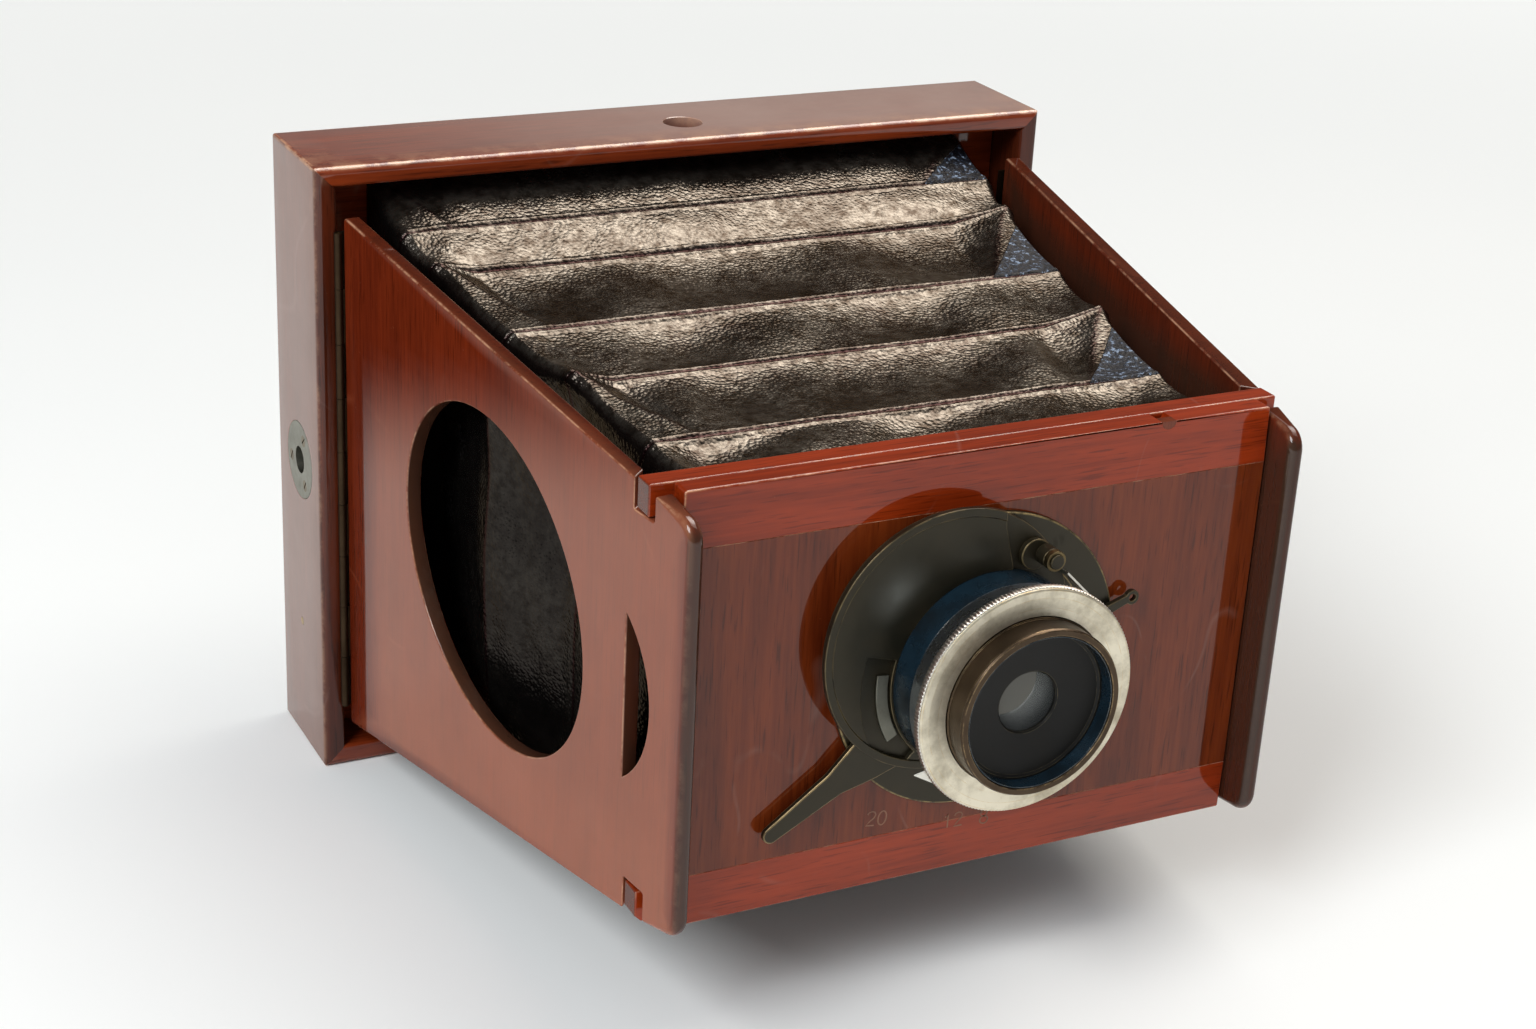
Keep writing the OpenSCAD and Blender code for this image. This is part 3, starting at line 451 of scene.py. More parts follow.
def inner_points(loops, pitch):
    """Square lattice of points between the loops, kept 0.6 pitch away from every side."""
    low, high = loops[0].min(0), loops[0].max(0)
    grid = np.meshgrid(*(np.arange(l + pitch / 2, h, pitch) for l, h in zip(low, high)), indexing="ij")
    grid = np.stack(grid, -1).reshape(-1, 2)
    grid = grid[within(grid, loops)]
    for loop in loops:
        a, way = loop[None], (np.roll(loop, -1, 0) - loop)[None]
        rel = grid[:, None] - a
        t = np.clip((rel * way).sum(-1) / np.maximum((way ** 2).sum(-1), 1e-12), 0, 1)
        grid = grid[np.linalg.norm(rel - t[..., None] * way, axis=-1).min(1) > 0.6 * pitch]
    return grid


def flat_fill(loops, extra=()):
    """Triangles inside the first loop and outside the others (constrained Delaunay triangulation)."""
    pts = np.concatenate(loops + ([extra] if len(extra) else []))
    edges, start = [], 0
    for loop in loops:
        k = len(loop)
        edges += [(start + i, start + (i + 1) % k) for i in range(k)]
        start += k
    out = delaunay_2d_cdt([Vector(p) for p in pts.tolist()], edges, [], 0, 1e-7, True)
    tri = np.array([f for f in out[2]], int)
    src = np.array([o[0] if o else -1 for o in out[3]], int)
    tri = src[tri]
    return tri[within(pts[tri].mean(1), loops) & (tri.min(1) >= 0)]


square = np.array([(0.0, 0.0), (4, 0), (4, 4), (0, 4)])
print("a plain square is filled with", len(flat_fill([square])), "triangles")

# %% Give it thickness
def board(loops, near, far, arris=0.4, steps=4, pitch=None):
    """Solid between the depths near and far. Returns (outline u, v, depth), faces, normals and wear."""
    pts = np.concatenate([l[0] for l in loops])
    nrm = np.concatenate([l[1] for l in loops])
    r = np.broadcast_to(np.asarray(arris, float), (len(pts),))
    a = np.linspace(0, np.pi / 2, steps + 1)
    turn = np.concatenate([a[::-1], a])
    face = np.concatenate([-np.ones(steps + 1), np.ones(steps + 1)])
    inset = r[None, :] * (1 - np.cos(turn))[:, None]
    uv = pts[None] - nrm[None] * inset[..., None]
    lift = r[None, :] * (1 - np.sin(turn))[:, None]
    depth = np.where(face[:, None] < 0, near + lift, far - lift)
    normal = np.concatenate([nrm[None] * np.cos(turn)[:, None, None],
                             np.broadcast_to((face * np.sin(turn))[:, None, None], (*uv.shape[:2], 1))], -1)
    wear = np.broadcast_to(np.sin(2 * turn)[:, None] ** 4, uv.shape[:2])
    rings, total = len(turn), len(pts)
    faces, start = [], 0
    for loop, _ in loops:
        k = len(loop)
        i = np.arange(rings - 1)[:, None] * total
        j = start + np.arange(k)[None, :]
        j2 = start + (np.arange(k)[None, :] + 1) % k
        q = np.stack(np.broadcast_arrays(i + j, i + j2, i + total + j2, i + total + j), -1)
        faces += q.reshape(-1, 4).tolist()
        start += k
    rims = [uv[-1][s:s + len(l[0])] for s, l in zip(np.cumsum([0] + [len(x[0]) for x in loops]), loops)]
    extra = inner_points(rims, pitch) if pitch else np.zeros((0, 2))
    cap = flat_fill(rims, extra)
    flat = np.concatenate([uv[-1], extra])
    a_, b_, c_ = flat[cap[:, 0]], flat[cap[:, 1]], flat[cap[:, 2]]
    ccw = np.cross(b_ - a_, c_ - a_) > 0
    cap = np.where(ccw[:, None], cap, cap[:, ::-1])
    m = len(extra)
    top = np.where(cap < total, cap + (rings - 1) * total, cap - total + rings * total)
    low = np.where(cap < total, cap, cap - total + rings * total + m)
    faces += top.tolist() + low[:, ::-1].tolist()
    ones = np.ones((m, 1))
    points = np.concatenate([np.concatenate([uv, depth[..., None]], -1).reshape(-1, 3),
                             np.concatenate([extra, far * ones], 1), np.concatenate([extra, near * ones], 1)])
    flat_n = np.array([[0.0, 0.0, 1.0]])
    normals = np.concatenate([normal.reshape(-1, 3), np.repeat(flat_n, m, 0), np.repeat(-flat_n, m, 0)])
    return points, faces, normals, np.concatenate([wear.ravel(), np.zeros(2 * m)])


def front_board(name, loops, near, far, finish, node, arris):
    """A board whose outline lies in the x-z plane and whose depth runs forward."""
    p, faces, n, wear = board(loops, near, far, arris)
    stain = 0.75 * (np.abs(p[:, 0]) > 55.3) * n[:, 0] ** 2   # end grain of the lugs
    return make_piece(name, place(p[:, 0], p[:, 2], p[:, 1]), faces, "front", finish, (node,),
                      np.stack([n[:, 0], -n[:, 2], n[:, 1]], 1), {"arris": wear, "stain": stain})


test = board([rounded([(0, 0), (10, 0), (10, 5), (0, 5)], 1)], 0, 2)
print("a test board has", len(test[0]), "points and", len(test[1]), "faces")

# %% [markdown]
# ## The box frame
# Four boards meet in mitres. Each is a rounded cross-section carried along one side of the rectangle; at
# the ends it is cut back by its own distance from the outer face, which is what a mitre saw does. One
# function makes all four, so the joints meet. The tripod bush and the hole in the top board sit in recesses.

# %% Recesses in the frame
W, H, D, WALL, TOP = 146.0, 116.3, 24.6, 4.0, 3.5   # width, height, depth, side boards, top board
ENDS = np.array([0, 0.15, 0.4, 0.7, 1.1])           # rows of points close to each mitre

# of each round recess: its place along the board and back, then (radius, depth) from the rim to the bottom
POCKETS = {"top": [(1.6, 11.3, [(3.93, 0), (3.85, 0), (3.7, 0.12), (3.7, 2.4), (2.9, 2.6)])],
           "left": [(58.1 - H / 2, 12.1, [(7.48, 0), (7.4, 0), (7.3, 0.1), (7.3, 1.25), (4.6, 1.26),
                                          (4.6, 3.8)]),
                    (25.0 - H / 2, 12.8, [(0.86, 0), (0.8, 0), (0.74, 0.05), (0.74, 2.0)])]}


def pocket_rings(u0, b0, steps, count=48):
    """Rings (along, back, depth) of a round recess; steps holds (radius, depth) pairs."""
    a = np.linspace(0, 2 * np.pi, count, endpoint=False)[None, :]
    r, depth = np.array(steps, float).T[:, :, None]
    return np.stack([u0 + r * np.cos(a), b0 + r * np.sin(a), depth + 0 * a], -1)


def open_recesses(side, faces, section, reach, back):
    """Opens the outer face of a board and fills it again round its recesses. Returns the faces, the new
    points (along, back, depth), and True for those that belong to a recess."""
    rows, cols = reach.shape
    flat = np.flatnonzero(section[:, 0] < 1e-9)
    first, last = flat[np.argsort(section[flat, 1])]
    # the column of quads that is the flat outer face
    gap = min(first, last) if abs(first - last) == 1 else cols - 1
    i0, i1 = len(ENDS) - 1, rows - len(ENDS)
    quad = np.arange(len(faces))
    faces = faces[~((quad % cols == gap) & (quad // cols >= i0) & (quad // cols < i1))].tolist()
    run = np.arange(i0, i1 + 1)
    rim_ids = np.concatenate([run * cols + first, run[::-1] * cols + last])
    loops = [np.stack([reach.ravel()[rim_ids], (back + 0 * reach).ravel()[rim_ids]], 1)]
    ids, start, new = [rim_ids], rows * cols, []
    for pit in [pocket_rings(*p) for p in POCKETS[side]]:
        k, n, _ = pit.shape
        ids.append(start + np.arange(n))
        faces += (grid_faces(k, n, False, True) + start).tolist()
        faces.append((start + (k - 1) * n + np.arange(n)).tolist())
        start += k * n
        new.append(pit.reshape(-1, 3))
        loops.append(pit[0, :, :2])
    lattice = inner_points(loops, 4.0)
    ids.append(start + np.arange(len(lattice)))
    new = np.concatenate(new + [np.column_stack([lattice, np.zeros(len(lattice))])])
    faces += np.concatenate(ids)[flat_fill(loops, lattice)].tolist()
    return faces, new, np.arange(len(new)) < len(new) - len(lattice)


print("recesses:", {side: len(found) for side, found in POCKETS.items()})

# %% [markdown]
# On the top board the haze of old polish grows from the left to past the middle; on the left board it is
# even. Part of this haze is painted reflection. The arris along the front is rubbed, most of all on the top
# board, where the bright line is also a painted highlight. Both are numbers stored with the points, because
# then the wear and the painted light follow the form wherever the board goes.

# %% Frame boards
def face_haze_and_reflection(side, x):
    """Haze of old polish and painted reflection on the outer face at x; on the top board it rises from left
    to right.
    """
    if side == "top":
        return 0.66 * (0.15 + 1.15 * soft_step(-80, 20, x))
    return (0.50 if side == "left" else 0.1) + 0 * x


def frame_board(name, side, thick, finish, node):
    """Cross-section (inward d, back y) with a round front edge, swept between two mitres: |along| is at most
    half the length less d, and near the corner the outer arris sinks by rho - sqrt(rho^2 - (rho - e)^2)."""
    front_round, rho = 1.25, 0.55
    section = rounded([(0, 0), (thick, 0), (thick, D), (0, D)], [front_round, 0.7, 0.35, 0.35], 6)[0][::-1]
    half = (W if side in ("top", "bottom") else H) / 2
    t = np.linspace(-1, 1, 41)
    t = np.sign(t) * (1 - (1 - np.abs(t)) ** 1.6)
    along = np.concatenate([-half + ENDS, t[2:-2] * (half - 2), half - ENDS[::-1]])
    d, back = section[:, 0][None, :], section[:, 1][None, :]
    edge = half - np.abs(along)[:, None]
    sink = np.where(edge < rho, rho - np.sqrt(np.maximum(rho ** 2 - (rho - edge) ** 2, 0)), 0)
    inward = np.maximum(d, sink)
    reach = np.sign(along)[:, None] * np.minimum(np.abs(along)[:, None], half - inward)
    x, z = {"top": (reach, H - inward), "bottom": (-reach, inward + 0 * reach),
            "left": (-W / 2 + inward, H / 2 + reach), "right": (W / 2 - inward, H / 2 - reach)}[side]
    rows, cols = reach.shape
    pts = place(x, -back + 0 * x, z + 0 * x)
    faces = grid_faces(rows, cols, False, True)
    # the bright line along the front arris: rubbed wood, and on the top board, where it is strongest, also a
    # painted highlight
    rubbed_and_highlight = {"top": 1.9, "left": 0.25}.get(side, 0.5)
    line = rubbed_and_highlight * np.exp(-((d - 0.12) ** 2 + (back - 0.7) ** 2) / 0.42 ** 2)
    face = (1 - soft_step(0.0, 0.3, d)) * soft_step(0.2, 1.4, back)
    data = {"arris": line + 0.7 * (1 - soft_step(0.1, 1.7, d)) * (edge < 0.5) + 0 * x,
            "haze_and_reflection": face * face_haze_and_reflection(side, x),
            "matt": 0 * x + (0.0 if side in POCKETS else 0.2), "stain": 0 * x}
    if side in POCKETS:
        faces, new, on_rim = open_recesses(side, faces, section, reach, back)
        u, b, deep = new.T
        inner = place(u, -b, H - deep) if side == "top" else place(-W / 2 + deep, -b, H / 2 + u)
        pts = np.concatenate([pts, inner])
        bare = (deep > 0.2) * 1.0
        more = {"arris": (deep > 0.02) * (deep < 0.2) * 0.6 * on_rim,
                "haze_and_reflection": face_haze_and_reflection(side, u) * (1 - bare) + 0.25 * bare,
                "matt": bare, "stain": bare * (0.85 if side == "left" else 0.3)}
        data = {key: np.concatenate([data[key].ravel(), more[key]]) for key in data}
    else:
        faces = faces.tolist()
    faces += [list(range(cols)), list(range((rows - 1) * cols, rows * cols))[::-1]]
    piece = make_piece(name, pts, faces, "back", finish, (node,), None, data)
    tidy_normals(piece, 50, 1e-7)
    return piece


for side, thick, finish in (("top", TOP, wood_across), ("bottom", WALL, wood_across),
                            ("left", WALL, wood_upright), ("right", WALL, wood_upright)):
    made = frame_board("board_" + side, side, thick, finish, "frame_" + side)
    print(made.name, len(made.data.polygons), "faces")

# %% [markdown]
# ## The bellows' lines
# The folds of the bellows are needed twice: for its own surface further down, and for the painted shade on
# the inner face of the right wing, which ends where the roof of the bellows stands before it.

# %% Bellows lines
FOLDS = np.array([-10.0, 5.8, 16.4, 41.5, 60.5, 84.0, 99.2])     # forward distance of each fold
HALF = np.array([60.4, 59.6, 57.2, 54.1, 50.3, 47.6, 46.4])      # half width there
ROOF = np.array([111.2, 105.5, 100.9, 98.7, 96.0, 94.6, 93.6])   # height of the roof
KEEL = np.array([9.4, 11.0, 15.6, 18.8, 21.6, 24.0, 25.6])       # height of the underside
SIDE = np.array([0.0, 2.0, -2.8, 3.2, -3.0, 2.8, 0.0])           # how far the sides bulge
print("bellows:", len(FOLDS) - 1, "panels")

# %% [markdown]
# ## Wings
# A wing is a thin board with a tilted oval hole, a D-shaped finger slot and two slots for the lugs. Its
# front edge is rounded right over, the other edges only lightly. The outline is drawn once for both wings,
# and a mirrored copy has its faces turned round, because a mirror turns a shape inside out.

# %% Outline of a wing
THICK = 2.8                                         # thickness of a wing
OVAL, OVAL_HALF, OVAL_TILT = (55.6, 61.4), (31.4, 26.9), math.radians(28.6)
SLOT, SLOT_R, SLOT_FLAT = (88.8, 59.6), 17.1, 9.9   # centre and radius of the D, distance of its flat side


def upper(u):
    """Height of the wing's upper edge, u forward along the wing."""
    return 107.96 - 0.120 * u


def lower(u):
    """Height of the wing's lower edge."""
    return 9.28 + 0.136 * u


def wing_loops():
    """Outline, oval and finger slot in (u forward, v up), each with its outward normals."""
    corners = [(1.15, lower(1.15)), (100.15, lower(100.15)), (100.15, 28.6), (106.0, 28.6),
               (106.0, lower(106)), (115.6, lower(115.6)), (115.6, upper(115.6)), (105.7, upper(105.7)),
               (105.7, 91.0), (99.95, 91.0), (99.95, upper(99.95)), (1.15, upper(1.15))]
    edge = rounded(corners, [0.7, 0.35, 0.4, 0.4, 0.5, 3.8, 3.8, 0.5, 0.4, 0.4, 0.35, 0.9], 8)
    a = -np.linspace(0, 2 * np.pi, 120, endpoint=False)
    p, q = OVAL_HALF[0] * np.cos(a), OVAL_HALF[1] * np.sin(a)
    c, s = math.cos(OVAL_TILT), math.sin(OVAL_TILT)
    oval = np.stack([OVAL[0] + p * c - q * s, OVAL[1] - p * s - q * c], 1)
    oval = oval if np.cross(oval[1] - oval[0], oval[2] - oval[1]) < 0 else oval[::-1]
    way = np.roll(oval, -1, 0) - np.roll(oval, 1, 0)
    oval_n = np.stack([way[:, 1], -way[:, 0]], 1) / np.linalg.norm(way, axis=1)[:, None]
    h = math.sqrt(SLOT_R ** 2 - SLOT_FLAT ** 2)
    b = np.linspace(math.atan2(h, SLOT_FLAT), -math.atan2(h, SLOT_FLAT), 25)
    out = np.stack([np.cos(b), np.sin(b)], 1)
    flat = np.stack([np.full(9, SLOT[0] + SLOT_FLAT), np.linspace(SLOT[1] - h, SLOT[1] + h, 9)], 1)
    slot = np.concatenate([SLOT + SLOT_R * out, flat])
    return [edge, (oval, oval_n), (slot, np.concatenate([-out, np.tile([[1.0, 0.0]], (9, 1))]))]


print("wing outline:", [len(points) for points, _ in wing_loops()], "points")

# %% [markdown]
# The finish changes over a wing: end grain in the holes is darker, the outside is hazy at the foot, with
# painted reflection in that haze, and the inside of the right wing carries painted shade up to the line of
# the bellows' roof.

# %% Wings
SLOPE = math.atan(0.124)   # each wing leans inwards by this angle
HINGE = 68.4               # distance of the wing's outer face from the middle, at the hinge
START = 1.02               # forward distance of its rear end, which is cut parallel to the frame
RELIEF = 0.768             # how fast the rear wall of a lug slot slants back through the board


def wing(name, mirror, body, node):
    """u runs forward along the wing, v up and t inwards: x = hinge - u sin - t cos, f = u cos - t sin."""
    loops = wing_loops()
    u, v = np.concatenate([points for points, _ in loops]).T
    on_edge = np.arange(len(u)) < len(loops[0][0])
    arris = 0.34 + 0.98 * on_edge * soft_step(108.5, 112.5, u)
    arris[on_edge & (v > 88) & (u > 2) & (u < 99.5)] = 0.55
    pts, faces, n, wear = board(loops, 0.0, THICK, arris, 5, 3.5)
    u, v, t = pts.T
    inside = soft_step(1.4, 2.2, t)
    outer = 1 - inside
    wall = 1 - np.abs(n[:, 2])
    hole = (u > 20) & (u < 99.2) & (v > 25) & (v < 100) & (v < upper(u) - 2.5)
    stain = 0.8 * wall * hole + 0.75 * soft_step(114.2, 115.4, u) + 0.35 * wall * (v > upper(u) - 1)
    roof = np.interp(u, FOLDS, ROOF)
    # painted shade: the inside of the right wing darkens below the line of the bellows' roof, where the
    # bellows shades it
    if not mirror:
        stain = stain + 0.7 * soft_step(roof + 2, roof - 3, v) * inside
    # the slant lets the lug leave its slot as the wing opens
    in_slot = (np.abs(u - 100.05) < 0.6) & ((v > 90.5) | (v < 29.0))
    u = u - np.where(in_slot, RELIEF * np.clip(t, 0, THICK), 0)
    s, c = math.sin(SLOPE), math.cos(SLOPE)
    u = np.maximum(u, (START + t * s) / c)
    k = -1.0 if mirror else 1.0
    # painted reflection: the haze on a wing's outside is strongest low down, on the left wing also towards
    # the front, and it fades out at the rear end and at the front rounding
    low = soft_step(84, 56, v - 0.30 * u) if mirror else 0.3
    ends = soft_step(6, 16, u) * soft_step(115.2, 113, u)
    haze_and_reflection = (0.38 + 0.16 * soft_step(55, 20, v)) * low * outer * ends
    data = {"arris": wear * np.where(u > 111, 0.25, 0.8), "haze_and_reflection": haze_and_reflection + (0 if mirror else 0.04) * inside,
            "matt": (1 - low if mirror else 0.3) * outer, "stain": np.clip(stain, 0, 0.9)}
    normals = np.stack([(-n[:, 0] * s - n[:, 2] * c) * k, n[:, 2] * s - n[:, 0] * c, n[:, 1]], 1)
    return make_piece(name, place((HINGE - u * s - t * c) * k, u * c - t * s, v), faces, body, wood_wing,
                      (node,), normals, data, flip=mirror)


for name, mirror, body, node in (("wing_left", True, "left_side", "left_wing"),
                                 ("wing_right", False, "right_side", "right_wing")):
    made = wing(name, mirror, body, node)
    print(name, len(made.data.vertices), "points")

# %% [markdown]
# ## The front
# Two boards lie on each other: the rear one has the lugs, the front one is a browner panel with upright
# grain, held between two strips whose grain runs across. They could be one board with painted lines, but
# separate boards let the grain change direction at the joints, as it does in wood.

# %% Front boards
HW, LUG = 51.9, 55.8                              # half width of the boards, and of the rear one at its lugs
FOOT, LOW, HIGH, HEAD = 22.9, 31.7, 87.0, 96.5    # heights: foot, the strips' two joints, top edge
BACK, MIDDLE, FACE = 99.5, 103.6, 107.6           # forward distances of the boards' faces
PLUG, PLUG_R = 32.2, 1.37                         # half-round plug in the top edge: place and radius

half = [(HW, FOOT), (HW, 22.5), (54.6, 22.5), (LUG, 23.7), (LUG, 28.1), (HW, 28.1), (HW, 91.3),
        (LUG, 91.3), (LUG, HEAD)]
radii = [0.05, 0.05, 0.5, 0.5, 0.35, 0.3, 0.3, 0.35, 0.35]
rear_outline = rounded(half + [(-x, z) for x, z in half[::-1]], radii + radii[::-1])
front_board("front_rear_board", [rear_outline, round_hole(*LENS, 20.0)], BACK, MIDDLE, wood_strip,
            "rear_board", 0.33)
panel = rounded([(-HW, LOW), (HW, LOW), (HW, HIGH), (-HW, HIGH)], 0.12, 3)
front_board("front_panel", [panel, round_hole(*LENS, 18.0)], MIDDLE, FACE, wood_panel,
            "lens_panel", 0.1)
notch = [(PLUG + PLUG_R * math.cos(a), HEAD + PLUG_R * math.sin(a)) for a in np.linspace(0, -np.pi, 15)]
strip = rounded([(-HW, HIGH), (HW, HIGH), (HW, HEAD), *notch, (-HW, HEAD)],
                [0.12, 0.12, 0.5] + [0.03] * len(notch) + [0.5], 4)
x, z = strip[0].T
front_board("strip_top", [strip], MIDDLE, FACE, wood_strip, "clamp_top",
            np.where(np.hypot(x - PLUG, z - HEAD) < 1.8, 0.04, np.where(z > 90, 0.42, 0.1)))
strip = rounded([(-HW, FOOT), (HW, FOOT), (HW, LOW), (-HW, LOW)], [0.4, 0.4, 0.12, 0.12], 4)
front_board("strip_bottom", [strip], MIDDLE, FACE, wood_strip, "clamp_bottom",
            np.where(strip[0][:, 1] < 28, 0.35, 0.1))
print("front boards done")

# %% [markdown]
# Three small numbers are scribed in the panel below the lens, where the tip of the focusing lever points.
# A text object would look printed. Strokes cut by hand are thin and plain, so each is a narrow ribbon that
# follows a short path.

# %% Scribed numbers
def bowl(cx, cy, rx, ry, count):
    """Closed oval stroke of a digit: (cx + rx cos t, cy + ry sin t)."""
    return [(cx + rx * math.cos(t), cy + ry * math.sin(t)) for t in np.linspace(0, 2 * np.pi, count)]


STROKES = {
    "0": [bowl(0.3, 0.5, 0.3, 0.5, 17)],
    "1": [[(0.12, 0.80), (0.34, 1.0), (0.34, 0.0)]],
    "2": [[(0.0, 0.78), (0.1, 0.94), (0.3, 1.0), (0.5, 0.94), (0.6, 0.76), (0.52, 0.55), (0.25, 0.3), (0, 0),
           (0.6, 0)]],
    "8": [bowl(0.3, 0.77, 0.24, 0.23, 13), bowl(0.3, 0.27, 0.3, 0.27, 15)]}


def ribbon(path, width, low, high):
    """Rectangle of the given width between two depths, carried along a flat path; ends are closed."""
    path = np.asarray(path, float)
    way = np.gradient(path, axis=0)
    side = np.stack([-way[:, 1], way[:, 0]], 1) / np.linalg.norm(way, axis=1)[:, None] * width / 2
    left, right = path + side, path - side
    depth = np.ones(len(path))
    ring = np.stack([np.column_stack([left, low * depth]), np.column_stack([left, high * depth]),
                     np.column_stack([right, high * depth]), np.column_stack([right, low * depth])], 1)
    n = len(path)
    caps = [[0, 1, 2, 3], [4 * n - 1, 4 * n - 2, 4 * n - 3, 4 * n - 4]]
    faces = grid_faces(n, 4, False, True).tolist() + caps
    return ring.reshape(-1, 3), faces


def numbers(name, marks, height=2.5):
    """Every mark (text, x, z) leans by a quarter of its angle about the lens axis."""
    points, faces = [], []
    for text, x, z in marks:
        lean = math.atan2(x - LENS[0], LENS[1] - z) * 0.25
        c, s = math.cos(lean), math.sin(lean)
        for i, char in enumerate(text):
            for path in STROKES[char]:
                flat = np.array(path) * (height, height) + ((i - len(text) / 2) * 0.82 * height, -height / 2)
                flat = np.stack([x + c * flat[:, 0] - s * flat[:, 1], z + s * flat[:, 0] + c * flat[:, 1]], 1)
                ring, quads = ribbon(flat, 0.24, FACE - 0.05, FACE + 0.03)
                faces += (np.array(quads) + sum(len(p) for p in points)).tolist()
                points.append(ring)
    p = np.concatenate(points)
    piece = make_piece(name, place(p[:, 0], p[:, 2], p[:, 1]), faces, "front", scribed)
    tidy_normals(piece, 30)
    return piece


made = numbers("scribed_numbers", [("20", -15.6, 34.9), ("12", -1.3, 31.6), ("8", 4.6, 31.0)])
print("numbers:", len(made.data.polygons), "faces")

# %% [markdown]
# ## Bellows
# Six wide pleats taper from the frame to the front, glued panel by panel, with a seam at each fold. Every
# second panel keeps its full width; the ones between are narrower, and a triangle of cloth closes each
# corner. The second and fourth seams stand up at their ends like small ears. A cloth simulation could fold
# it, but nobody can tell it where the folds should fall. So the surface is a function of the way round and
# the way forward: straight lines between known folds, plus ears, cloth corners, lips, slow swags and a
# finer crumple.

# %% Bellows folds
def fold_lines(f, values, soft=0.5):
    """Piecewise straight through the folds, averaged over a short length so that each crease is round."""
    offsets = np.linspace(-soft, soft, 5)
    return np.mean([np.interp(f + o, FOLDS, values) for o in offsets], 0)


def swags(a, seed, longest=52, shortest=20, waves=5):
    """Sum of a few sine waves along `a` between two lengths: the unevenness of one panel."""
    rng = np.random.default_rng(seed)
    length = rng.uniform(shortest, longest, waves)[:, None, None]
    phase = rng.uniform(0, 2 * np.pi, waves)[:, None, None]
    size = rng.uniform(0.5, 1, waves)[:, None, None]
    return (size * np.sin(2 * np.pi * a / length + phase)).sum(0) / waves * 1.6


print("half width at 30 mm forward:", round(float(fold_lines(30.0, HALF)), 1))

# %% Bellows surface
CLOTH = 13.5                                 # width of a cloth corner at its wide end
PEAK = (0.0, 2.3, 2.3, 2.3, 2.3, 1.6)        # height of the ears, panel by panel
SWAG = (0.4, 0.5, 1.0, 1.3, 1.4, 1.1)        # size of the slow waves
PUFF = (0.6, 0.2, -1.3, -1.1, -1.3, -1.0)    # how far a panel's middle stands out, or sinks in
LEFT = 1.7                                   # the left corners are this much tighter than the right ones


def corner_lift(s, d, full, peak):
    """Extra height at a corner: s runs 0..1 along the panel, d is the distance from the corner in mm.
    A narrow panel has an ear between the lines A and B and a cloth triangle beyond B."""
    hump = 4 * s * (1 - s)
    if full:
        return peak * s ** 2 * np.clip(1 - d / 12, 0, 1) ** 1.3 - 0.7 * hump * np.clip(1 - d / 9, 0, 1)
    line_a, line_b = 12 + 1.5 * s, CLOTH * s + 1e-6
    at_a, at_b, at_c = -0.9 * hump, peak * (1 - s), peak * (1 - s) - 0.9 * hump
    outside = at_a * np.exp(-np.clip(d - line_a, 0, None) / 3)
    ear = at_b + (at_a - at_b) * np.clip((d - line_b) / (line_a - line_b), 0, 1)
    gusset = at_c + (at_b - at_c) * np.clip(d / line_b, 0, 1)
    return np.where(d >= line_a, outside, np.where(d >= line_b, ear, gusset))


def pleated_side(f, x, w, level, up, seed):
    """Height of the top (up = 1) or bottom (up = -1) of the bellows at forward f and across x."""
    d = (w - np.abs(x)) * np.where(x < 0, LEFT, 1.0)
    z = np.broadcast_to(level, x.shape).copy()
    cloth, line = np.zeros(x.shape), np.zeros(x.shape)
    inner = np.clip(d / 9, 0, 1)
    for k in range(6):
        s = np.clip((f - FOLDS[k]) / (FOLDS[k + 1] - FOLDS[k]), 0, 1)
        here = (f >= FOLDS[k]) & (f < FOLDS[k + 1] + (k == 5))
        full = k % 2 == 1
        wave = SWAG[k] * inner * swags(x + 3.5 * s * (k - 2), seed + k) * np.sin(np.pi * s) ** 0.9
        puff = PUFF[k] * inner * np.sin(np.pi * s ** (1 if k < 2 else 0.62))
        fine = swags(x + 9 * s, seed + 20 + k, 11, 5) * 0.12 * np.sin(np.pi * s) ** 0.5
        z += np.where(here, up * (corner_lift(s, d, full, PEAK[k]) + wave + puff + fine), 0)
        if not full:
            patch = np.clip(0.5 + (CLOTH * (s - 0.26) / 0.74 - d) / 1.6, 0, 1)
            # only the right corners get the blue cloth; the left ones keep the dark leather colour as painted
            # shade
            cloth = np.where(here & (x > 0), patch, cloth)
            line = np.where(here, np.exp(-((CLOTH * s - d) / 0.5) ** 2), line)
    return z, cloth, line


def lips(f):
    """Distance to the nearest inner fold, and the height there: the glued edge stands up beside the fold
    and the seam itself lies in a groove."""
    near = np.min(np.abs(f[..., None] - FOLDS[None, None, 1:-1]), -1)
    return near, 0.20 * np.exp(-((near - 0.65) / 0.4) ** 2) - 0.28 * np.exp(-(near / 0.22) ** 2)


def side_wall(f, g, w, bow, seed, slant, cross):
    """Half width of a side, g from 1 at the top to -1: w + bow (1 - g^4) + swags that die out at the ends."""
    free = 1 - g ** 4
    ends = soft_step(-10, -4, f) * (1 - soft_step(94, 99, f))
    slow = swags(g * 45 + f * slant, seed, 60, 22) * 0.7 + swags(f + g * cross, seed + 2, 14, 6) * 0.25
    return w + bow * free + slow * free * ends


print("ear in the middle of a narrow panel:", round(float(corner_lift(0.5, 7.0, False, PEAK[2])), 2), "mm")

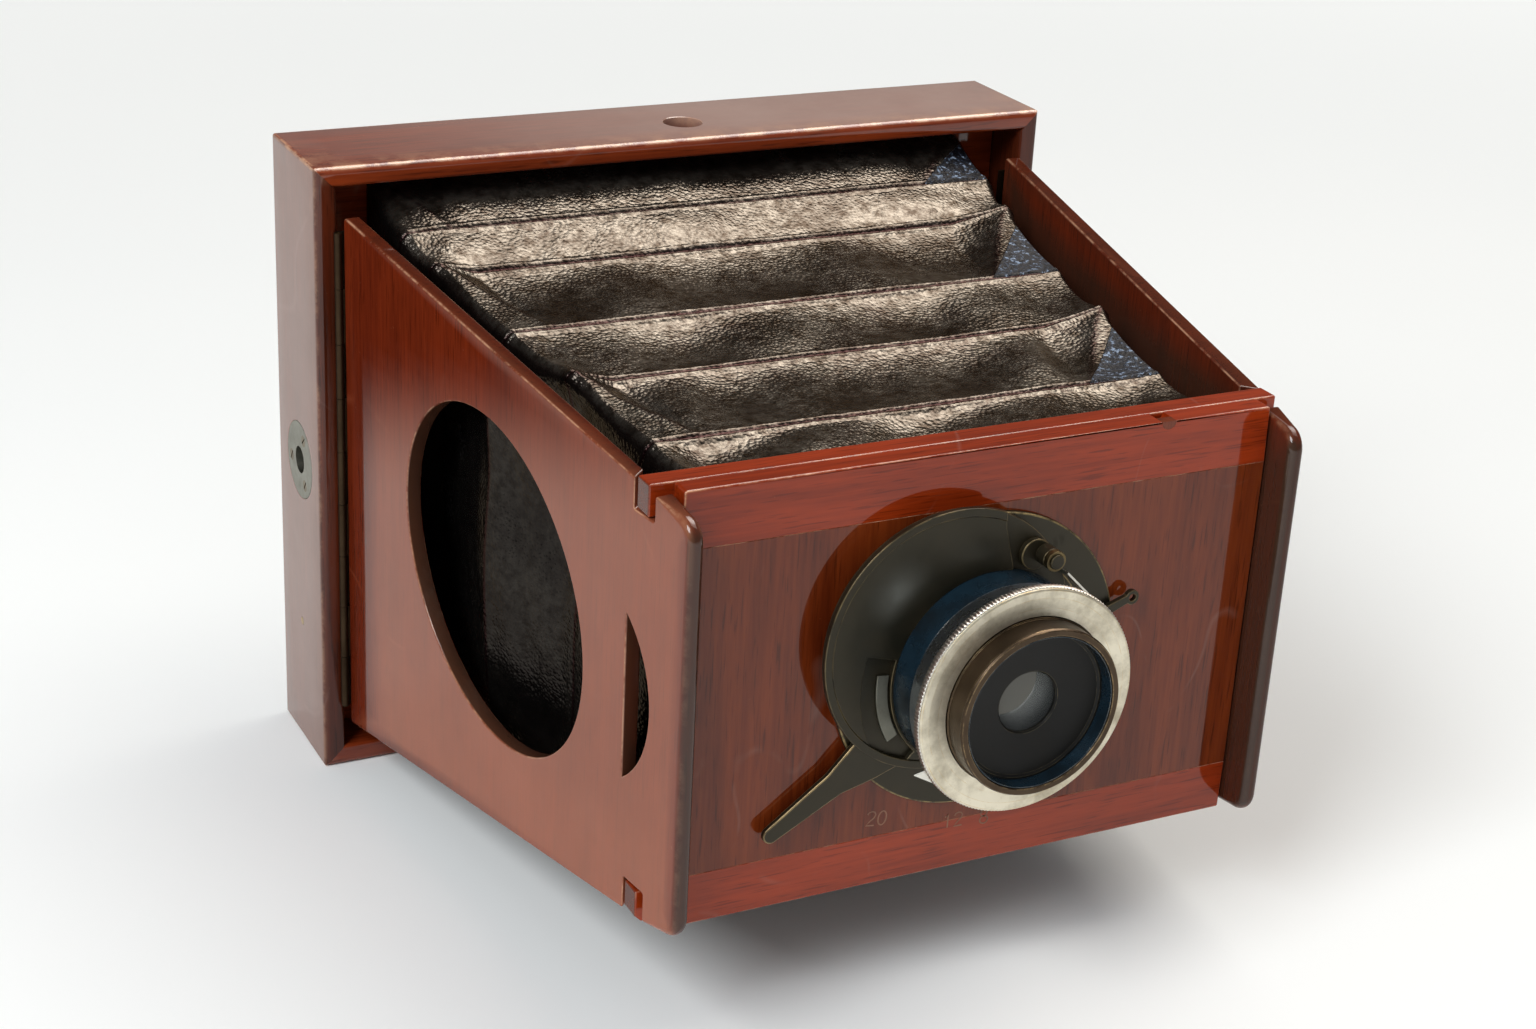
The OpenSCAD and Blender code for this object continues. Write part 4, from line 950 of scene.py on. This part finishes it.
# %% Bellows skin
def bellows(name):
    """Grid: rows run forward, columns once round (roof, right side, underside, left side)."""
    close = [np.linspace(k - 1.5, k + 1.5, 19) for k in FOLDS[1:-1]]
    f = np.unique(np.concatenate([np.linspace(-10, 99.2, 130), *close]))[:, None]
    w, t, b, bow = (fold_lines(f, v) for v in (HALF, ROOF, KEEL, SIDE))
    w = w + 0.9 * sum(np.exp(-((f - k) / 2.5) ** 2) for k in (FOLDS[2], FOLDS[4]))
    cut = 1.3   # the corner between roof and side is cut off this far in from both
    c = np.linspace(-1, 1, 123)[None, :]
    g = np.linspace(1, -1, 45)[None, :]
    near, lip = lips(f)
    roof_x = np.sign(c) * (1 - (1 - np.abs(c)) ** 1.25) * (w - cut)
    roof_z, cloth_t, line_t = pleated_side(f, roof_x, w - cut, t, 1, 40)
    keel_z, cloth_b, line_b = pleated_side(f, -roof_x, w - cut, b, -1, 80)
    roof_z, keel_z = roof_z + lip, keel_z - lip
    edge_t, edge_b = roof_z[:, -1:] - cut, keel_z[:, -1:] + cut
    side_z = (edge_t + edge_b) / 2 + (edge_t - edge_b) / 2 * g
    right, left = side_wall(f, g, w, bow, 7, 0.6, 6), side_wall(f, g, w, bow, 17, -0.5, -5)
    x = np.concatenate([roof_x, right, -roof_x, -left], 1)
    z = np.concatenate([roof_z, side_z, keel_z, side_z[:, ::-1]], 1)
    zero = np.zeros(right.shape)
    seam = np.maximum(np.broadcast_to(np.exp(-(near / 0.3) ** 2), x.shape),
                      np.concatenate([line_t, zero, line_b, zero], 1))
    cloth = np.concatenate([cloth_t, zero, cloth_b, zero], 1)
    # painted shade: 1 on the side columns, which the finish darkens
    painted_side_shade = np.concatenate([0 * roof_x, zero + 1, 0 * roof_x, zero + 1], 1)
    made = make_piece(name, place(x, f, z), grid_faces(*x.shape, False, True).tolist(), "back", leather,
                      ("bellows",), None, {"fold": seam, "cloth": cloth, "painted_side_shade": painted_side_shade})
    skin = made.modifiers.new("thickness", "SOLIDIFY")
    skin.thickness = 0.0007
    skin.offset = -1.0
    return made


skin = bellows("bellows_skin")
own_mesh(skin)
print("bellows:", len(skin.data.vertices), "points")

# %% [markdown]
# ## Turned pieces
# Rings, tubes and discs of the lens come off a lathe: a profile of (radius, forward) is rounded at its
# corners and carried round the lens axis. The Screw modifier does the same. A formula also gives exact
# normals, and it lets the knurling be a wave in the radius.

# %% Lathe
def turned(name, profile, radius, body, finish, stands_for=(), steps=144, wave=None, arcs=3):
    """Surface (r cos a, f, r sin a) of a closed profile; `wave` may change r with the angle (knurling)."""
    section, normal = rounded(profile, radius, arcs)
    area = np.sum(section[:, 0] * np.roll(section[:, 1], -1) - np.roll(section[:, 0], -1) * section[:, 1])
    a = np.linspace(0, 2 * np.pi, steps, endpoint=False)[:, None]
    r, f = section[:, 0][None, :], section[:, 1][None, :]
    if wave is not None:
        r = r + wave(a, section)
    x = LENS[0] + r * np.cos(a)
    z = LENS[1] + r * np.sin(a)
    shape = (steps, len(section))
    nr, nf = normal[:, 0][None, :], np.broadcast_to(-normal[:, 1][None, :], shape)
    n = np.stack([nr * np.cos(a), nf, nr * np.sin(a)], -1).reshape(-1, 3)
    k = len(section) // len(profile)
    bend = np.tile(np.sin(np.linspace(0, np.pi, k)), len(profile))
    wear = np.broadcast_to(bend[None, :], shape)
    faces = grid_faces(*shape, True, True).tolist()
    return make_piece(name, place(x, f + 0 * a, z), faces, body, finish, stands_for,
                      None if wave is not None else n, {"arris": wear}, flip=area < 0)


turned("base_disc", [(16.1, 100), (18, 100), (18, 107.6), (25.2, 107.6), (25.2, 108.6), (16.1, 108.6)],
       [0.1, 0.1, 0.05, 0.1, 0.35, 0.1], "front", lacquer, ("lens_base",))
turned("tube", [(14.4, 96), (16, 96), (16, 110.2), (14.4, 110.2)], 0.1, "lens_head", dull_black,
       ("lens_tube",))
turned("rear_cell_ring", [(13, 92.6), (15.4, 92.6), (15.4, 96), (13, 96)], 0.3, "lens_head", old_brass,
       ("rear_cell",))
turned("barrel_tube", [(14.4, 110.9), (16.8, 110.9), (16.8, 117), (14.4, 117)], 0.12, "lens_head",
       blue_lacquer, ("barrel",))
turned("bright_band", [(14.4, 117), (16.85, 117), (17.15, 117.5), (18.0, 120.2), (18.5, 121.7),
                       (14.4, 121.7)],
       [0.05, 0.15, 0.4, 1.5, 0.2, 0.05], "lens_head", band_steel, ("silver_band",))


RIDGES, GROOVE = 190, 0.16   # knurling: number of ridges and depth of the grooves


def knurl(a, section):
    """The radius dips once per ridge round the rim, only where the profile is at full radius."""
    rim = soft_step(18.55, 18.8, section[:, 0])[None, :]
    return -GROOVE * rim * (0.5 + 0.5 * np.cos(RIDGES * a)) ** 0.7


turned("knurled_rim", [(14.2, 121.8), (18.75, 121.8), (19, 122.0), (19, 123.15), (18.75, 123.3),
                       (14.2, 123.3)],
       [0.05, 0.08, 0.05, 0.05, 0.08, 0.05], "stop_ring", nickel, ("knurled_ring",),
       steps=6 * RIDGES, wave=knurl, arcs=1)
turned("dished_face", [(14.25, 123.3), (18.75, 123.3), (18.8, 123.45), (18.5, 123.62), (17.3, 123.6),
                       (15.6, 123.44), (14.25, 123.4)], [0.02, 0.05, 0.1, 0.25, 1.2, 1.5, 0.02],
       "stop_ring", nickel_face, ("ring_face",))
turned("hood_tube", [(12.65, 117), (14.4, 117), (14.4, 121.7), (14.1, 121.75), (14.1, 123.6), (13.9, 123.7),
                     (13.9, 127.1), (12.65, 127.1)], [0.02, 0.02, 0.02, 0.02, 0.05, 0.05, 0.1, 0.1],
       "lens_head", hood_brass, ("hood",))
turned("hood_edge", [(12.65, 127.1), (13.95, 127.1), (14.0, 127.4), (13.8, 127.8), (12.85, 127.8)],
       [0.02, 0.05, 0.2, 0.2, 0.2], "lens_head", hood_brass, ("hood_rim",))
turned("hood_lining", [(12.56, 118.2), (12.7, 118.2), (12.7, 127.6), (12.56, 127.6)],
       [0.02, 0.02, 0.03, 0.03], "lens_head", blue_lacquer)
turned("stop_cone", [(5.06, 123.1), (12.65, 124.4), (12.65, 125), (12.2, 125), (11.8, 124.75), (5.3, 123.85),
                     (5.06, 123.6)], [0.03, 0.02, 0.02, 0.1, 0.1, 0.1, 0.08], "lens_head", dull_black,
       ("stop_plate",))

# %% [markdown]
# ## Shutter case, levers, hinges and screws
# These parts keep the shape of their solids, because a machined part is simple and it is its edges that
# tell its age. A copy has its loose triangles merged and its edges bevelled, and on lacquered parts the
# bevels get a second finish, where the brass shines through. Pins, glasses and hinge leaves show so little
# edge that they only get their finish.

# %% Small solids with soft edges
SMOOTH = math.radians(28)   # bends above this angle stay sharp


def refine(node, finish, width):
    """A copy of the solid with its loose triangles merged, flats dissolved and edges bevelled."""
    mesh = nodes[node].data.copy()
    bm = bmesh.new()
    bm.from_mesh(mesh)
    bmesh.ops.remove_doubles(bm, verts=bm.verts, dist=2e-6)
    bmesh.ops.dissolve_limit(bm, angle_limit=math.radians(1.5), verts=bm.verts, edges=bm.edges)
    bm.to_mesh(mesh)
    bm.free()
    mesh.materials.clear()
    mesh.materials.append(finish)
    if finish is lacquer:
        mesh.materials.append(edge_wear if node == "focus_lever" else edge_dark)
    piece = put("fine_" + node, mesh)
    edge = piece.modifiers.new("arris", "BEVEL")
    edge.width = width / 1000
    edge.segments = 3
    edge.limit_method = "ANGLE"
    edge.angle_limit = math.radians(30)
    edge.harden_normals = True
    edge.material = 1 if finish is lacquer else -1
    mesh.shade_smooth()
    mesh.set_sharp_from_angle(angle=SMOOTH)
    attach(piece, next(b for b, names in frame["record"]["behaviour"]["bodies"].items() if node in names))
    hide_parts(node)


for node, finish, width in (
        ("bellows_frame", wood_across, 0.3), ("screen_frame", wood_across, 0.5),
        ("screen_hinges_fixed", old_brass, 0.1), ("screen_hinge_leaves", old_brass, 0.1),
        ("screen_button", old_brass, 0.2), ("button_screw", old_brass, 0.12), ("glass_clips", old_brass, 0.1),
        ("base_screws", lacquer, 0.08), ("release_screw", dirt_brass, 0.12), ("focus_lever", lacquer, 0.25),
        ("release_lever", lacquer, 0.15), ("case_plate", lacquer, 0.12), ("shutter_case", lacquer, 0.12),
        ("case_rim", lacquer, 0.2), ("pivot_boss", lacquer, 0.2), ("spring_strip", nickel, 0.04),
        ("setting_post", lacquer, 0.15), ("post_ring", dirt_brass, 0.08), ("window_blade", silver_grey, 0.08),
        ("shutter_blade", blade_grey, 0.05), ("pointer", paint_white, 0.06)):
    refine(node, finish, width)
for finish, names in ((lens_glass, "front_glass rear_glass"), (ground, "ground_glass"),
                      (old_brass, "left_hinge_pin right_hinge_pin screen_hinge_pins panel_pins blade_pin "
                                  "brass_pin"),
                      (silver_grey, "tripod_bush"), (dirt_brass, "bush_screws"), (wood_panel, "top_plug"),
                      (hinge_brass_tarnish_and_shade, "left_hinge_fixed right_hinge_fixed left_hinge_leaf right_hinge_leaf")):
    for node in names.split():
        mesh = nodes[node].data
        mesh.materials.clear()
        mesh.materials.append(finish)
        mesh.shade_smooth()
        mesh.set_sharp_from_angle(angle=SMOOTH)

# %% [markdown]
# ## Table, light and camera
# A flat sheet of pale paper lies under the object. Far out it fades into an even glow, which only the
# scene's camera sees: that looks like a sheet swept up behind the object, with no bend to place.

# %% Paper
paper, tree, shader, coords = node_tree("paper")
tone = ramp(tree, noise(tree, coords, 3, 2, 0.5), (0.3, (0.90, 0.91, 0.90)), (0.7, (0.93, 0.935, 0.92)))
dress(tree, shader, Base_Color=tone, Roughness=0.8, Specular_IOR_Level=0.1)
reach = add(tree, "ShaderNodeVectorMath", operation="LENGTH")
feed(tree, coords, reach.inputs[0])
far = ramp(tree, calc(tree, "DIVIDE", reach.outputs["Value"], 2.0), (0.11, 0), (0.50, 1))
glow = add(tree, "ShaderNodeEmission", in_Strength=1.0, in_Color=(0.965, 0.975, 0.955))
blend = add(tree, "ShaderNodeMixShader")
feed(tree, times(tree, far, add(tree, "ShaderNodeLightPath").outputs["Is Camera Ray"]), blend.inputs[0])
feed(tree, shader.outputs[0], blend.inputs[1])
feed(tree, glow.outputs[0], blend.inputs[2])
feed(tree, blend.outputs[0], tree.nodes["Material Output"].inputs["Surface"])
px, pd = np.meshgrid(np.linspace(-3, 3, 13), np.linspace(-3, 3, 13), indexing="ij")
mesh = bpy.data.meshes.new("paper")
mesh.from_pydata(np.stack([px, pd, 0 * px], -1).reshape(-1, 3).tolist(), [], grid_faces(*px.shape).tolist())
mesh.polygons.foreach_set("use_smooth", np.ones(len(mesh.polygons), bool))
mesh.materials.append(paper)
put("paper", mesh)
print("paper:", len(mesh.polygons), "squares")

# %% [markdown]
# A large soft lamp stands at the upper left like a window, a weaker and warmer one above on the right.

# %% Lamps
def lamp(name, where, look, size, power, tint):
    """A square lamp of side `size` metres at `where`, turned to `look`."""
    data = bpy.data.lights.new(name, "AREA")
    data.shape = "RECTANGLE"
    data.size = data.size_y = size
    data.energy = power
    data.color = tint
    obj = put(name, data)
    obj.location = where
    obj.rotation_euler = (Vector(look) - Vector(where)).to_track_quat("-Z", "Y").to_euler()


lamp("left window", (-1.05, -0.55, 1.1), (0, 0, 0.05), 0.7, 18, (0.93, 0.97, 1.0))
lamp("lamp above", (0.50, -0.05, 1.15), (0, 0, 0.05), 0.9, 7.0, (1, 0.94, 0.86))
print("lamps:", len(bpy.data.lights))

# %% [markdown]
# The world has three faces. The camera sees an almost white backdrop. Polish, leather and glass mirror a
# dim room with a paler strip low down behind and one bright patch high up behind, which gives the bellows
# its shine. All other light is a weak, slightly blue glow that fills the shadows.

# %% World
PATCH_AT, PATCH = (0.43, 0.27, 0.86), (7.0, 6.7, 6.3)   # direction and light of the bright patch
world = bpy.data.worlds.new("studio")
bpy.context.scene.world = world
world.use_nodes = True
wt = world.node_tree
fill = wt.nodes["Background"]
dress(wt, fill, Color=(0.95, 0.97, 1.0), Strength=0.38)
ray = add(wt, "ShaderNodeLightPath").outputs
mirrored = calc(wt, "MAXIMUM", ray["Is Glossy Ray"], ray["Is Transmission Ray"])
seen = calc(wt, "MAXIMUM", ray["Is Camera Ray"], mirrored)
sky = add(wt, "ShaderNodeTexCoord").outputs["Generated"]
_, back, height = add(wt, "ShaderNodeSeparateXYZ", in_Vector=sky).outputs
behind = ramp(wt, times(wt, calc(wt, "ADD", back, 1.0), 0.5), (0.35, 0), (0.75, 1))
low = ramp(wt, height, (0.24, 1), (0.46, 0))
dim = ramp(wt, times(wt, behind, height), (0.15, 0.16), (0.35, 0.05))
room = mix(wt, times(wt, behind, low), dim, (0.26, 0.25, 0.24))
aim = add(wt, "ShaderNodeVectorMath", operation="DOT_PRODUCT")
feed(wt, sky, aim.inputs[0])
feed(wt, PATCH_AT, aim.inputs[1])
patch = ramp(wt, aim.outputs["Value"], (0.90, 0), (0.97, 1))
room = mix(wt, patch, room, PATCH)
shown = mix(wt, ray["Is Camera Ray"], room, (0.97, 0.985, 0.97))
plain = add(wt, "ShaderNodeBackground", in_Strength=1.0, in_Color=shown)
join = add(wt, "ShaderNodeMixShader")
feed(wt, seen, join.inputs[0])
feed(wt, fill.outputs[0], join.inputs[1])
feed(wt, plain.outputs[0], join.inputs[2])
feed(wt, join.outputs[0], wt.nodes["World Output"].inputs[0])
bpy.context.scene.view_settings.view_transform = "Standard"
print("world nodes:", len(wt.nodes))

# %% [markdown]
# The camera stands where the photographer's stood. It could be placed by eye, but the straight edges of the
# boards tell more: the angles, the distance and the roll were fitted to them.

# %% Camera
AZ, EL, ROLL = math.radians(-27.658), math.radians(23.291), math.radians(3.101)
ORIGIN = (-18.111, -37.860, -523.547)   # foot of the frame's front face from here: right, up, back, in mm
FOCAL, PIXELS = 2612.181, 1536          # focal length and width of the picture, in pixels
view = np.array([math.sin(AZ) * math.cos(EL), -math.cos(AZ) * math.cos(EL), math.sin(EL)])
right = np.cross([0, 0, 1], view)
right /= np.linalg.norm(right)
up = np.cross(view, right)
turn = np.array([math.cos(ROLL) * right + math.sin(ROLL) * up,
                 -math.sin(ROLL) * right + math.cos(ROLL) * up, view])
x, y, z = -turn.T @ np.array(ORIGIN)
cam = bpy.data.cameras.new("camera")
cam.sensor_width = 36
cam.lens = 36 * FOCAL / PIXELS
cam.clip_start = 0.01
eye = put("camera", cam)
matrix = Matrix([[*row, 0] for row in turn.T.tolist()] + [[0, 0, 0, 1]])
matrix.translation = Vector((x / 1000, (y + SHIFT) / 1000, z / 1000))
eye.matrix_world = matrix
bpy.context.scene.camera = eye
print("camera at", [round(v, 3) for v in matrix.translation])
